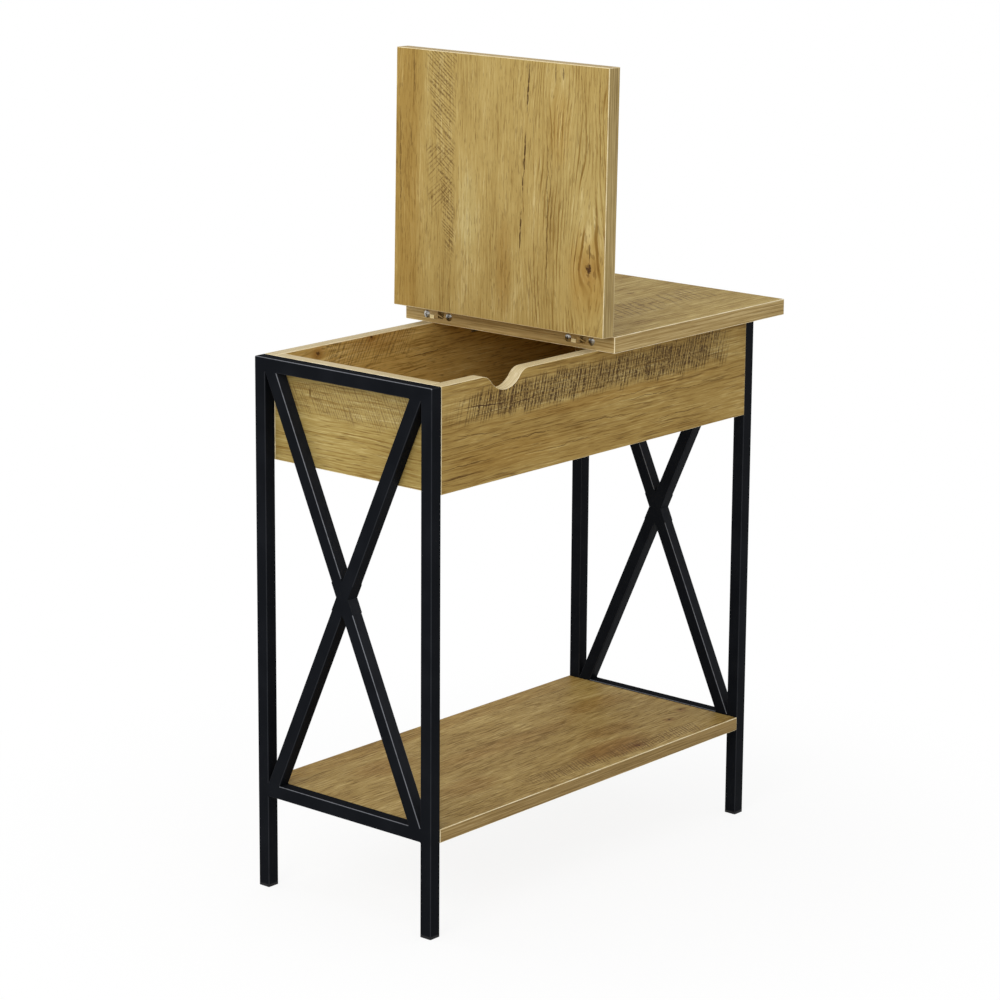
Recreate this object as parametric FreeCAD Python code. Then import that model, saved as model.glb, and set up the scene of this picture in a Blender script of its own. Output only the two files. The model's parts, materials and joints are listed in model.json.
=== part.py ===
"""Flip-top end table: two welded end frames, a storage box, a fixed top, a hinged lid and a shelf.

Units are millimetres. +X runs along the table towards the fixed half of the top, +Y runs from the
front, where the finger notch is, to the back, and +Z is up. The pieces are built about the middle of
the box and moved at the end, so that the origin is the middle of the floor under the standing table
with its lid upright.
"""
import FreeCAD, Part
import math
import os

Vector = FreeCAD.Vector
X_AXIS = Vector(1, 0, 0)
Y_AXIS = Vector(0, 1, 0)
Z_AXIS = Vector(0, 0, 1)

# Whole table
table_height = 610.0
top_length = 596.0
top_depth = 300.0
top_board = 18.0
frame_length = 548.0
frame_depth = 252.0

# End frames, of square tube
tube = 15.0
tube_wall = 1.2
tube_corner = 1.5
leg_cap = 1.5
leg_top_round = 1.4
bottom_rail_height = 104.5

# Feet, pushed into the open leg ends
foot_flange = 3.0
foot_shank = 12.0
foot_clearance = 0.1

# Storage box
box_height = 113.5
box_panel = 15.0
notch_from_end = 100.0
notch_half_width = 37.0
notch_depth = 18.0
notch_bottom_radius = 29.0

# Shelf
shelf_board = 15.0
shelf_drop = 1.0

# Wooden dowels
dowel_radius = 4.0
dowel_in_face = 10.0
dowel_in_edge = 20.0
dowel_side_clearance = 0.05
dowel_end_clearance = 0.3
corner_dowel_edge = 24.0
bottom_dowel_pitch = 150.0
bottom_dowel_end_offset = 60.0

# Bolts that hold the frames to the box ends
bolt_pitch = 80.0
bolt_radius = 3.0
bolt_head_radius = 5.5
bolt_head_height = 3.4
bolt_socket = 4.0
bolt_socket_depth = 2.0
bolt_end_margin = 2.0
bolt_hole_clearance = 0.25
thread_clearance = 0.05
washer_radius = 6.5
washer_thickness = 1.2
nut_radius = 4.5
nut_length = 11.0
nut_flange_radius = 6.0
nut_flange = 0.8
nut_recess_clearance = 0.2

# Shelf tabs, welded to the bottom rails
tab_length = 25.0
tab_width = 30.0
tab_thickness = 2.5
tab_offset = 70.0
tab_above_rail = 1.5
tab_pocket_clearance = 0.3

# Brackets that hold the fixed top to the box
bracket_flange = 20.0
bracket_width = 18.0
bracket_thickness = 2.0
bracket_spacing = 130.0
bracket_from_box_end = 62.0
bracket_screw_from_corner = 12.0

# Wood screws
screw_radius = 1.75
screw_head_radius = 3.7
screw_head_height = 2.0
screw_tip = 3.0
screw_clearance = 0.05
short_screw_grip = 10.0
cross_slot_length = 4.2
cross_slot_width = 1.0
cross_slot_depth = 1.0

# Lid and its hinges
hinge_gap = 2.2
lid_edge_to_axis = 0.2
joint_offset = -10.8
hinge_axis_above_top = 0.4
lid_seat_clearance = 0.3
lid_open_angle = 91.0
hinge_from_board_end = 48.0
hinge_screw_spacing = 32.5
hinge_screw_length = 14.0
hinge_screw_dome = 0.9
hinge_head_radius = 4.3
leaf_rim = 0.2
leaf_end_flat = 0.1
leaf_thickness = 1.2
leaf_clearance = 0.05
barrel_radius = 2.1
barrel_length = 18.0
barrel_relief = 0.4
knuckle_gap = 0.3
pin_radius = 1.1
pin_clearance = 0.05
arm_notch_depth = 7.6
arm_pocket_depth = 5.0
arm_width = 1.4
arm_start = 2.8
arm_drop = 3.4
boss_from_middle = 5.0
boss_length = 6.3
boss_below_middle = 4.0
boss_height = 4.2
boss_proud = 0.7

# Places worked out from the sizes above
frame_height = table_height - top_board
frame_end = frame_length / 2
frame_side = frame_depth / 2
box_end = frame_end - tube
box_bottom = frame_height - box_height
top_rail_bottom = frame_height - tube
bottom_rail_top = bottom_rail_height + tube
leg_inner = frame_side - tube
panel_inner = frame_side - box_panel
end_inner = box_end - box_panel
shelf_top = bottom_rail_top - shelf_drop
shelf_bottom = shelf_top - shelf_board
top_end = top_length / 2
top_side = top_depth / 2
hinge_x = joint_offset
hinge_z = table_height + hinge_axis_above_top
lid_edge = hinge_x - lid_edge_to_axis
fixed_edge = lid_edge + hinge_gap
hinge_offset = top_side - hinge_from_board_end
screw_z = frame_height + top_board / 2
leaf_height = 2 * (hinge_head_radius + leaf_rim)
leaf_length = hinge_screw_spacing + leaf_height
leaf_corner = leaf_height / 2 - leaf_end_flat
leaf_top = screw_z + leaf_height / 2
frame_bolt_z = frame_height - tube / 2
frame_bolt_places = [-bolt_pitch, 0, bolt_pitch]
bolt_length = box_panel + nut_length - bolt_end_margin
rest_centre_x = (top_end - frame_end) / 2


def block(x0, x1, y0, y1, z0, z1):
    """Box between two opposite corners."""
    return Part.makeBox(x1 - x0, y1 - y0, z1 - z0, Vector(x0, y0, z0))


def rod(radius, start, direction, length):
    """Round bar from a start point along a direction."""
    return Part.makeCylinder(radius, length, start, direction)


def square_profile(sharp):
    """Outline of the square tube about the origin; the named corners stay sharp, the rest are round."""
    half = tube / 2
    corners = [(1, 1), (-1, 1), (-1, -1), (1, -1)]
    stations = []
    for sx, sy in corners:
        point = Vector(sx * half, sy * half, 0)
        if (sx, sy) in sharp:
            stations.append((point, None, point))
            continue
        along_x = point - Vector(sx * tube_corner, 0, 0)
        along_y = point - Vector(0, sy * tube_corner, 0)
        bend = tube_corner * (1 - math.sqrt(0.5))
        middle = point - Vector(sx * bend, sy * bend, 0)
        entry, leave = (along_y, along_x) if sx * sy > 0 else (along_x, along_y)
        stations.append((entry, middle, leave))
    edges = []
    for index, (entry, middle, leave) in enumerate(stations):
        if middle is not None:
            edges.append(Part.Arc(entry, middle, leave).toShape())
        edges.append(Part.makeLine(leave, stations[(index + 1) % 4][0]))
    return Part.Face(Part.Wire(edges))


def square_bar(zones):
    """Solid square bar along Z, with its rounded corners left sharp in the zones that meet a neighbour."""
    pieces = []
    for start, end, sharp in zones:
        profile = square_profile(sharp)
        profile.translate(Vector(0, 0, start))
        pieces.append(profile.extrude(Vector(0, 0, end - start)))
    return pieces[0].fuse(pieces[1:]).removeSplitter() if len(pieces) > 1 else pieces[0]


def square_bore(start, end):
    """The hollow inside the square tube, along Z."""
    half = tube / 2 - tube_wall
    return block(-half, half, -half, half, start, end)


def leg(centre_x, side):
    """Upright of an end frame, capped at the top and open at the bottom for its foot."""
    inward = {(1, -side), (-1, -side)}
    bar = square_bar([
        (foot_flange, bottom_rail_height, set()),
        (bottom_rail_height, bottom_rail_top, inward),
        (bottom_rail_top, top_rail_bottom, set()),
        (top_rail_bottom, frame_height, inward),
    ])
    bar = bar.cut(square_bore(foot_flange, frame_height - leg_cap))
    facing_rail = -side * tube / 2
    rim = [edge for edge in bar.Edges
           if edge.BoundBox.ZMin > frame_height - 1e-4 and abs(edge.BoundBox.Center.y - facing_rail) > 1e-3]
    bar = bar.makeFillet(leg_top_round, rim)
    bar.translate(Vector(centre_x, side * (frame_side - tube / 2), 0))
    return bar


def foot(centre_x, side):
    """Foot plug: a flange the size of the tube and a shank that fills its bore."""
    half = tube / 2 - tube_wall - foot_clearance
    plug = square_bar([(0, foot_flange, set())])
    plug = plug.fuse(block(-half, half, -half, half, foot_flange, foot_flange + foot_shank))
    plug.translate(Vector(centre_x, side * (frame_side - tube / 2), 0))
    return plug


def brace_angle():
    """Lean of a brace that runs between the rails from one leg's corner to the other's."""
    rise = top_rail_bottom - bottom_rail_top
    run = 2 * leg_inner
    return math.acos(tube / math.hypot(rise, run)) - math.atan2(rise, run)


def rail(centre_x, bottom, braced_side):
    """Cross tube between two legs; its edges are sharp where the brace ends are welded on."""
    landing = tube / math.cos(brace_angle())
    facing = {(braced_side, 1), (braced_side, -1)}
    bar = square_bar([
        (-leg_inner, -leg_inner + landing, facing),
        (-leg_inner + landing, leg_inner - landing, set()),
        (leg_inner - landing, leg_inner, facing),
    ])
    bar = bar.cut(square_bore(-leg_inner, leg_inner))
    # A third of a turn about the space diagonal takes X to Z, Z to Y and Y to X.
    bar.rotate(Vector(0, 0, 0), Vector(1, 1, 1), -120)
    bar.translate(Vector(centre_x, 0, bottom + tube / 2))
    return bar


def brace_bars(centre_x, lean):
    """Outer bar and bore of a brace that leans to the front for +1 and to the back for -1."""
    rise = top_rail_bottom - bottom_rail_top
    reach = rise / 2 + frame_depth
    crossing = tube / math.sin(2 * brace_angle())
    every_corner = {(1, 1), (1, -1), (-1, 1), (-1, -1)}
    bar = square_bar([
        (-reach, -crossing, set()), (-crossing, crossing, every_corner), (crossing, reach, set())])
    bore = square_bore(-reach, reach)
    middle = Vector(centre_x, 0, bottom_rail_top + rise / 2)
    for shape in (bar, bore):
        shape.rotate(Vector(0, 0, 0), X_AXIS, lean * math.degrees(brace_angle()))
        shape.translate(middle)
    return bar, bore


def braces(centre_x):
    """The crossed braces of an end frame: one long tube and two halves welded to its sides."""
    between_rails = block(centre_x - tube, centre_x + tube, -frame_side, frame_side,
                          bottom_rail_top, top_rail_bottom)
    long_bar, long_bore = brace_bars(centre_x, 1)
    cross_bar, cross_bore = brace_bars(centre_x, -1)
    long_brace = long_bar.common(between_rails).cut(long_bore)
    halves = cross_bar.common(between_rails).cut([long_bar, cross_bore])
    lower, upper = sorted(halves.Solids, key=lambda solid: solid.CenterOfMass.z)
    return long_brace, upper, lower


def end_frame(name, side):
    """All tubes and feet of one end frame, by node name."""
    centre_x = side * (frame_end - tube / 2)
    long_brace, upper, lower = braces(centre_x)
    top_rail = rail(centre_x, top_rail_bottom, -1)
    for y in frame_bolt_places:
        inner_wall = Vector(side * (box_end - 1), y, frame_bolt_z)
        top_rail = top_rail.cut(rod(nut_radius, inner_wall, X_AXIS * side, tube / 2))
    return {
        name + "_front_leg": leg(centre_x, -1),
        name + "_back_leg": leg(centre_x, 1),
        name + "_front_foot": foot(centre_x, -1),
        name + "_back_foot": foot(centre_x, 1),
        name + "_top_rail": top_rail,
        name + "_bottom_rail": rail(centre_x, bottom_rail_height, 1),
        name + "_long_brace": long_brace,
        name + "_upper_half_brace": upper,
        name + "_lower_half_brace": lower,
    }


def finger_notch():
    """Cutter for the finger notch: a round bottom that flows into two round lips."""
    lip_radius = (notch_half_width ** 2 + notch_depth ** 2) / (2 * notch_depth) - notch_bottom_radius
    centre_x = -box_end + notch_from_end
    turn = math.asin(notch_half_width / (lip_radius + notch_bottom_radius))
    floor = frame_height - notch_depth

    def low(angle):
        return Vector(centre_x + notch_bottom_radius * math.sin(angle), -frame_side,
                      floor + notch_bottom_radius * (1 - math.cos(angle)))

    def lip(side, angle):
        return Vector(centre_x + side * (notch_half_width - lip_radius * math.sin(angle)), -frame_side,
                      frame_height - lip_radius * (1 - math.cos(angle)))

    above = Vector(0, 0, notch_depth)
    edges = [
        Part.Arc(lip(-1, 0), lip(-1, turn / 2), low(-turn)).toShape(),
        Part.Arc(low(-turn), low(0), low(turn)).toShape(),
        Part.Arc(low(turn), lip(1, turn / 2), lip(1, 0)).toShape(),
        Part.makeLine(lip(1, 0), lip(1, 0) + above),
        Part.makeLine(lip(1, 0) + above, lip(-1, 0) + above),
        Part.makeLine(lip(-1, 0) + above, lip(-1, 0)),
    ]
    return Part.Face(Part.Wire(edges)).extrude(Vector(0, box_panel, 0))


def dowel_places():
    """Start point and direction of each dowel: it starts in a panel's face and ends in an edge."""
    places = []
    heights = [box_bottom + corner_dowel_edge, frame_height - corner_dowel_edge]
    bottom_middle = box_bottom + box_panel / 2
    for side in (-1, 1):
        start_y = side * (panel_inner + dowel_in_face)
        for end in (-1, 1):
            for height in heights:
                places.append((Vector(end * (box_end - box_panel / 2), start_y, height), Y_AXIS * -side))
        for x in (-bottom_dowel_pitch, 0, bottom_dowel_pitch):
            places.append((Vector(x, start_y, bottom_middle), Y_AXIS * -side))
        for y in (-bottom_dowel_end_offset, bottom_dowel_end_offset):
            start_x = side * (end_inner + dowel_in_face)
            places.append((Vector(start_x, y, bottom_middle), X_AXIS * -side))
    return places


def dowels():
    """All dowels of the box."""
    length = dowel_in_face + dowel_in_edge - 2 * dowel_end_clearance
    return [rod(dowel_radius, start + direction * dowel_end_clearance, direction, length)
            for start, direction in dowel_places()]


def dowel_holes():
    """The holes that the dowels are glued into."""
    return [rod(dowel_radius + dowel_side_clearance, start, direction, dowel_in_face + dowel_in_edge)
            for start, direction in dowel_places()]


def bracket_places():
    """Corner of each top bracket under the fixed top, and the way from the panel into the box."""
    last = box_end - bracket_from_box_end
    return [(Vector(x, side * panel_inner, frame_height), -side)
            for x in (last - bracket_spacing, last) for side in (-1, 1)]


def bracket(corner, inward):
    """Steel angle bracket between a box panel and the fixed top."""
    upright = block(-bracket_width / 2, bracket_width / 2, 0, bracket_thickness, -bracket_flange, 0)
    flat = block(-bracket_width / 2, bracket_width / 2, 0, bracket_flange, -bracket_thickness, 0)
    angle = upright.fuse(flat).removeSplitter()
    if inward < 0:
        angle = angle.mirror(Vector(0, 0, 0), Y_AXIS)
    angle.translate(corner)
    return angle


def bracket_screw_places(corner, inward):
    """Seat and direction of the two screws of a bracket: one up into the top, one into the panel."""
    up = corner + Vector(0, inward * bracket_screw_from_corner, -bracket_thickness)
    across = corner + Vector(0, inward * bracket_thickness, -bracket_screw_from_corner)
    return [(up, Z_AXIS), (across, Y_AXIS * -inward)]


def cross_slot(seat, direction, sideways, outward):
    """Cutter for the cross recess in the outer face of a screw head."""
    across = direction.cross(sideways)
    slots = []
    for along, narrow in ((sideways, across), (across, sideways)):
        corner = (seat + outward - along * (cross_slot_length / 2) - narrow * (cross_slot_width / 2))
        points = [corner, corner + along * cross_slot_length,
                  corner + along * cross_slot_length + narrow * cross_slot_width,
                  corner + narrow * cross_slot_width]
        face = Part.Face(Part.makePolygon(points + points[:1]))
        slots.append(face.extrude(direction * cross_slot_depth))
    return slots


def pan_screw(seat, direction, grip):
    """Wood screw with a rounded head on the seat and its point in the wood."""
    shank = rod(screw_radius, seat, direction, grip)
    tip = Part.makeCone(screw_radius, 0, screw_tip, seat + direction * grip, direction)
    head = rod(screw_head_radius, seat - direction * screw_head_height, direction, screw_head_height)
    rim = [edge for edge in head.Edges if edge.BoundBox.Center.sub(seat).Length > screw_head_height / 2
           and edge.Curve.TypeId == "Part::GeomCircle"]
    head = head.makeFillet(screw_head_height / 2, rim)
    sideways = X_AXIS if abs(direction.x) < 0.5 else Y_AXIS
    recess = cross_slot(seat, direction, sideways, direction * -screw_head_height)
    return head.fuse([shank, tip]).cut(recess)


def screw_pilot(seat, direction, grip):
    """Hole for a wood screw's shank and point."""
    return rod(screw_radius + screw_clearance, seat, direction, grip + screw_tip + screw_clearance)


def top_brackets():
    """The brackets with their screw holes, and their screws."""
    brackets = []
    screws = []
    for corner, inward in bracket_places():
        places = bracket_screw_places(corner, inward)
        pilots = [screw_pilot(seat, direction, short_screw_grip) for seat, direction in places]
        brackets.append(bracket(corner, inward).cut(pilots))
        screws += [pan_screw(seat, direction, short_screw_grip) for seat, direction in places]
    return brackets, screws


def bracket_pilots():
    """Screw holes of all brackets, to cut from the wood around them."""
    return [screw_pilot(seat, direction, short_screw_grip)
            for corner, inward in bracket_places()
            for seat, direction in bracket_screw_places(corner, inward)]


def bolt_holes(side):
    """Bolt holes through a box end, with a recess for each nut's flange on the outer face."""
    holes = []
    for y in frame_bolt_places:
        outer = Vector(side * box_end, y, frame_bolt_z)
        holes.append(rod(bolt_radius + bolt_hole_clearance, outer, X_AXIS * -side, box_panel))
        holes.append(rod(nut_flange_radius + nut_recess_clearance, outer, X_AXIS * -side,
                         nut_flange + nut_recess_clearance))
    return holes


def box_panels():
    """The five panels of the storage box."""
    holes = dowel_holes() + bracket_pilots()
    long_panel = block(-box_end, box_end, panel_inner, frame_side, box_bottom, frame_height)
    front = long_panel.mirror(Vector(0, 0, 0), Y_AXIS)
    panels = {
        "box_front_panel": front.cut(holes + [finger_notch()]),
        "box_back_panel": long_panel.cut(holes),
    }
    for name, side in (("box_left_panel", -1), ("box_right_panel", 1)):
        x0, x1 = sorted((side * end_inner, side * box_end))
        end_panel = block(x0, x1, -panel_inner, panel_inner, box_bottom, frame_height)
        panels[name] = end_panel.cut(dowel_holes() + bolt_holes(side))
    bottom = block(-end_inner, end_inner, -panel_inner, panel_inner, box_bottom, box_bottom + box_panel)
    panels["box_bottom_panel"] = bottom.cut(dowel_holes())
    return panels


def frame_fixings(side):
    """Bolts, washers and rivet nuts that hold one end frame to the box."""
    bolts, washers, nuts = [], [], []
    outward = X_AXIS * side
    for y in frame_bolt_places:
        panel_face = Vector(side * end_inner, y, frame_bolt_z)
        washer = rod(washer_radius, panel_face - outward * washer_thickness, outward, washer_thickness)
        bore = rod(bolt_radius + bolt_hole_clearance, panel_face - outward * washer_thickness, outward,
                   washer_thickness)
        washers.append(washer.cut(bore))
        seat = panel_face - outward * washer_thickness
        head = rod(bolt_head_radius, seat - outward * bolt_head_height, outward, bolt_head_height)
        rim = [edge for edge in head.Edges if edge.Curve.TypeId == "Part::GeomCircle"
               and abs(edge.BoundBox.Center.x) < abs(seat.x) - bolt_head_height / 2]
        head = head.makeFillet(bolt_head_height / 2, rim)
        shank = rod(bolt_radius, seat, outward, bolt_length + washer_thickness)
        socket = Part.Face(Part.makePolygon([
            seat - outward * bolt_head_height + Vector(0, bolt_socket / math.sqrt(3) * math.cos(turn),
                                                       bolt_socket / math.sqrt(3) * math.sin(turn))
            for turn in [math.radians(60 * corner) for corner in range(7)]
        ])).extrude(outward * bolt_socket_depth)
        bolts.append(head.fuse(shank).cut(socket))
        wall_face = Vector(side * box_end, y, frame_bolt_z)
        nut = rod(nut_radius, wall_face, outward, nut_length)
        flange = rod(nut_flange_radius, wall_face - outward * nut_flange, outward, nut_flange)
        bore = rod(bolt_radius + thread_clearance, wall_face - outward * nut_flange, outward,
                   nut_flange + nut_length)
        nuts.append(nut.fuse(flange).cut(bore))
    return bolts, washers, nuts


def tab_places():
    """Middle of the welded end of each shelf tab, on its bottom face, and its side of the table."""
    bottom = bottom_rail_height + tab_above_rail
    return [(Vector(side * box_end, y, bottom), side)
            for side in (-1, 1) for y in (-tab_offset, tab_offset)]


def shelf_fixings(side):
    """Tabs welded to one bottom rail, and the screws that go up through them into the shelf."""
    tabs, screws = [], []
    for corner, tab_side in tab_places():
        if tab_side != side:
            continue
        x0, x1 = sorted((corner.x, corner.x - side * tab_length))
        tab = block(x0, x1, corner.y - tab_width / 2, corner.y + tab_width / 2,
                    corner.z, corner.z + tab_thickness)
        seat = corner - Vector(side * (tab_length - bracket_screw_from_corner), 0, 0)
        tabs.append(tab.cut(screw_pilot(seat, Z_AXIS, short_screw_grip - tab_thickness)))
        screws.append(pan_screw(seat, Z_AXIS, short_screw_grip - tab_thickness))
    return tabs, screws


def shelf():
    """Shelf board with pockets in its underside for the welded tabs."""
    board = block(-box_end, box_end, -frame_side, frame_side, shelf_bottom, shelf_top)
    cutters = []
    for corner, side in tab_places():
        reach = tab_length + tab_pocket_clearance
        half = tab_width / 2 + tab_pocket_clearance
        x0, x1 = sorted((corner.x, corner.x - side * reach))
        cutters.append(block(x0, x1, corner.y - half, corner.y + half,
                             shelf_bottom, corner.z + tab_thickness))
        seat = corner - Vector(side * (tab_length - bracket_screw_from_corner), 0, 0)
        cutters.append(screw_pilot(seat, Z_AXIS, short_screw_grip - tab_thickness))
    return board.cut(cutters)


def leaf_plate(face_x, inward, thickness, grow, hinge_y):
    """Hinge leaf's plate, let into a board's edge face; grow widens it into its mortise."""
    half = leaf_length / 2 + grow
    low = screw_z - leaf_height / 2 - grow
    high = screw_z + leaf_height / 2 + grow
    x0, x1 = sorted((face_x, face_x + inward * thickness))
    plate = block(x0, x1, hinge_y - half, hinge_y + half, low, high)
    through = [edge for edge in plate.Edges
               if edge.tangentAt(edge.FirstParameter).cross(X_AXIS).Length < 0.5]
    return plate.makeFillet(leaf_corner, through)


def knuckle_spans(hinge_y):
    """Spans along Y of the fixed leaf's knuckle, on the back half, and of the lid leaf's knuckle."""
    half = barrel_length / 2
    return ((hinge_y + knuckle_gap / 2, hinge_y + half), (hinge_y - half, hinge_y - knuckle_gap / 2))


def arm_window(face_x, inward, free_span, depth):
    """Cutter for the window in a leaf, or the pocket in its board, beside the other leaf's knuckle."""
    y0, y1 = free_span
    x0, x1 = sorted((face_x, face_x + inward * depth))
    return block(x0, x1, y0 - knuckle_gap / 2, y1 + knuckle_gap / 2, leaf_top - arm_notch_depth, leaf_top)


def leaf_arm(x0, x1, free_span):
    """Slanting arm across a leaf's window."""
    y0, y1 = free_span[0] - knuckle_gap, free_span[1] + knuckle_gap
    high = leaf_top - arm_start
    low = high - arm_drop
    points = [Vector(x0, y1, high), Vector(x0, y1, high - arm_width), Vector(x0, y0, low - arm_width),
              Vector(x0, y0, low)]
    return Part.Face(Part.makePolygon(points + points[:1])).extrude(X_AXIS * (x1 - x0))


def hinge_leaf(face_x, inward, own_span, free_span, hinge_y):
    """One leaf of a hinge: plate, knuckle on its own span, boss, and window with its arm."""
    leaf = leaf_plate(face_x, inward, leaf_thickness, 0, hinge_y)
    x0, x1 = sorted((face_x, face_x + inward * leaf_thickness))
    leaf = leaf.cut(arm_window(face_x, inward, free_span, leaf_thickness))
    y0, y1 = own_span
    neck = block(x0, x1, y0, y1, screw_z, hinge_z)
    web_x0, web_x1 = sorted((hinge_x, face_x + inward * leaf_thickness))
    web = block(web_x0, web_x1, y0, y1, hinge_z - barrel_radius, hinge_z)
    knuckle = rod(barrel_radius, Vector(hinge_x, y0, hinge_z), Y_AXIS, y1 - y0)
    half_side = 1 if y0 > hinge_y else -1
    boss_y0, boss_y1 = sorted(hinge_y + half_side * (boss_from_middle + step) for step in (0, boss_length))
    boss_x0, boss_x1 = sorted((face_x - inward * boss_proud, face_x + inward * leaf_thickness / 2))
    boss = block(boss_x0, boss_x1, boss_y0, boss_y1,
                 screw_z - boss_below_middle, screw_z - boss_below_middle + boss_height)
    leaf = leaf.fuse([neck, web, knuckle, boss, leaf_arm(x0, x1, free_span)])
    half = barrel_length / 2 + knuckle_gap
    bore = rod(pin_radius + pin_clearance, Vector(hinge_x, hinge_y - half, hinge_z), Y_AXIS, 2 * half)
    return leaf.cut([bore] + leaf_countersinks(face_x, inward, hinge_y)).removeSplitter()


def hinge_screw_seats(face_x, hinge_y):
    """Points on a board's edge face where a leaf's two screws go in."""
    return [Vector(face_x, hinge_y + step * hinge_screw_spacing / 2, screw_z) for step in (-1, 1)]


def countersink_depth():
    """Depth of the cone under a countersunk head, which slopes at 45 degrees."""
    return hinge_head_radius - screw_radius


def leaf_countersinks(face_x, inward, hinge_y):
    """Cones for the countersunk heads, through a leaf and into the board under it."""
    return [Part.makeCone(hinge_head_radius + screw_clearance, screw_radius + screw_clearance,
                          countersink_depth(), seat, X_AXIS * inward)
            for seat in hinge_screw_seats(face_x, hinge_y)]


def mortise(face_x, inward, free_span, hinge_y):
    """Cutters for everything that a leaf needs in a board: its bed, neck slot, relief, pocket and holes."""
    cutters = [leaf_plate(face_x, inward, leaf_thickness, leaf_clearance, hinge_y)]
    half = barrel_length / 2 + leaf_clearance
    x0, x1 = sorted((face_x, face_x + inward * leaf_thickness))
    cutters.append(block(x0, x1, hinge_y - half, hinge_y + half, screw_z, hinge_z))
    cutters.append(rod(barrel_radius + barrel_relief, Vector(hinge_x, hinge_y - half, hinge_z),
                       Y_AXIS, 2 * half))
    cutters.append(arm_window(face_x, inward, free_span, arm_pocket_depth))
    cutters += leaf_countersinks(face_x, inward, hinge_y)
    for seat in hinge_screw_seats(face_x, hinge_y):
        cutters.append(rod(screw_radius + screw_clearance, seat, X_AXIS * inward,
                           hinge_screw_length + screw_clearance))
    return cutters


def hinge_screws(face_x, inward, hinge_y):
    """The two countersunk screws of a leaf, with slightly domed heads."""
    screws = []
    direction = X_AXIS * inward
    dome_radius = (hinge_head_radius ** 2 + hinge_screw_dome ** 2) / (2 * hinge_screw_dome)
    for seat in hinge_screw_seats(face_x, hinge_y):
        ball = Part.makeSphere(dome_radius, seat + direction * (dome_radius - hinge_screw_dome))
        dome = ball.common(rod(hinge_head_radius, seat - direction * hinge_screw_dome, direction,
                               hinge_screw_dome))
        cone = Part.makeCone(hinge_head_radius, screw_radius, countersink_depth(), seat, direction)
        shank = rod(screw_radius, seat, direction, hinge_screw_length - screw_tip)
        tip = Part.makeCone(screw_radius, 0, screw_tip, seat + direction * (hinge_screw_length - screw_tip),
                            direction)
        recess = cross_slot(seat, direction, Y_AXIS, direction * -hinge_screw_dome)
        screws.append(dome.fuse([cone, shank, tip]).cut(recess))
    return screws


def fixed_top():
    """Board that stays on the right half of the table."""
    board = block(fixed_edge, top_end, -top_side, top_side, frame_height, table_height)
    cutters = bracket_pilots()
    for hinge_y in (-hinge_offset, hinge_offset):
        cutters += mortise(fixed_edge, 1, knuckle_spans(hinge_y)[1], hinge_y)
    return board.cut(cutters)


def lid():
    """Lid board as it lies when closed, just clear of the box."""
    board = block(-top_end, lid_edge, -top_side, top_side,
                  frame_height + lid_seat_clearance, table_height + lid_seat_clearance)
    cutters = []
    for hinge_y in (-hinge_offset, hinge_offset):
        cutters += mortise(lid_edge, -1, knuckle_spans(hinge_y)[0], hinge_y)
    return board.cut(cutters)


def opened(shape):
    """Turn a shape of the closed lid about the hinge axis to the upright rest position."""
    turned = shape.copy()
    turned.rotate(Vector(hinge_x, 0, hinge_z), Y_AXIS, lid_open_angle)
    return turned


def hinges():
    """Leaves, pins and screws of the two hinges, by node name."""
    pieces = {}
    fixed_screws, lid_screws = [], []
    for name, hinge_y in (("front", -hinge_offset), ("back", hinge_offset)):
        fixed_span, lid_span = knuckle_spans(hinge_y)
        pieces[name + "_hinge_fixed_leaf"] = hinge_leaf(fixed_edge, 1, fixed_span, lid_span, hinge_y)
        pieces[name + "_hinge_lid_leaf"] = opened(hinge_leaf(lid_edge, -1, lid_span, fixed_span, hinge_y))
        pieces[name + "_hinge_pin"] = rod(pin_radius, Vector(hinge_x, hinge_y - barrel_length / 2, hinge_z),
                                          Y_AXIS, barrel_length)
        fixed_screws += hinge_screws(fixed_edge, 1, hinge_y)
        lid_screws += [opened(screw) for screw in hinge_screws(lid_edge, -1, hinge_y)]
    pieces["hinge_fixed_screws"] = Part.makeCompound(fixed_screws)
    pieces["hinge_lid_screws"] = Part.makeCompound(lid_screws)
    return pieces


def all_pieces():
    """Every node of the table, by name."""
    pieces = {}
    for name, side in (("left", -1), ("right", 1)):
        pieces.update(end_frame(name, side))
        bolts, washers, nuts = frame_fixings(side)
        tabs, screws = shelf_fixings(side)
        pieces[name + "_frame_bolts"] = Part.makeCompound(bolts)
        pieces[name + "_frame_washers"] = Part.makeCompound(washers)
        pieces[name + "_rivet_nuts"] = Part.makeCompound(nuts)
        pieces[name + "_shelf_tabs"] = Part.makeCompound(tabs)
        pieces[name + "_shelf_screws"] = Part.makeCompound(screws)
    pieces.update(box_panels())
    pieces["box_dowels"] = Part.makeCompound(dowels())
    brackets, bracket_screws = top_brackets()
    pieces["top_brackets"] = Part.makeCompound(brackets)
    pieces["top_bracket_screws"] = Part.makeCompound(bracket_screws)
    pieces["shelf"] = shelf()
    pieces["fixed_top"] = fixed_top()
    pieces["lid"] = opened(lid())
    pieces.update(hinges())
    return pieces


os.makedirs("parts", exist_ok=True)
for node, shape in all_pieces().items():
    placed = shape.copy()
    placed.translate(Vector(-rest_centre_x, 0, 0))
    placed.exportStep("parts/" + node + ".step")
    print(node, "solids", len(placed.Solids), "valid", placed.isValid(), "volume", round(placed.Volume, 1))
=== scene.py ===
"""Looks of the flip-top end table: oak laminate boards, black steel end frames and small brass hinges.

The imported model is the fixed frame. The boards are copies of their solids with softened edges and
laminate drawn by shader nodes; tubes, feet and fixings keep their own meshes and get their finishes.
Lengths are metres. On a board face, u runs along the grain and v across it, and the factors on them
in an effect are rates a metre.
"""
from __future__ import annotations

import json
import logging
import math
from dataclasses import dataclass
from enum import Enum, IntEnum
from types import SimpleNamespace
from typing import Iterable, Sequence

import bmesh
import bpy
from mathutils import Matrix, Vector

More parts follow.
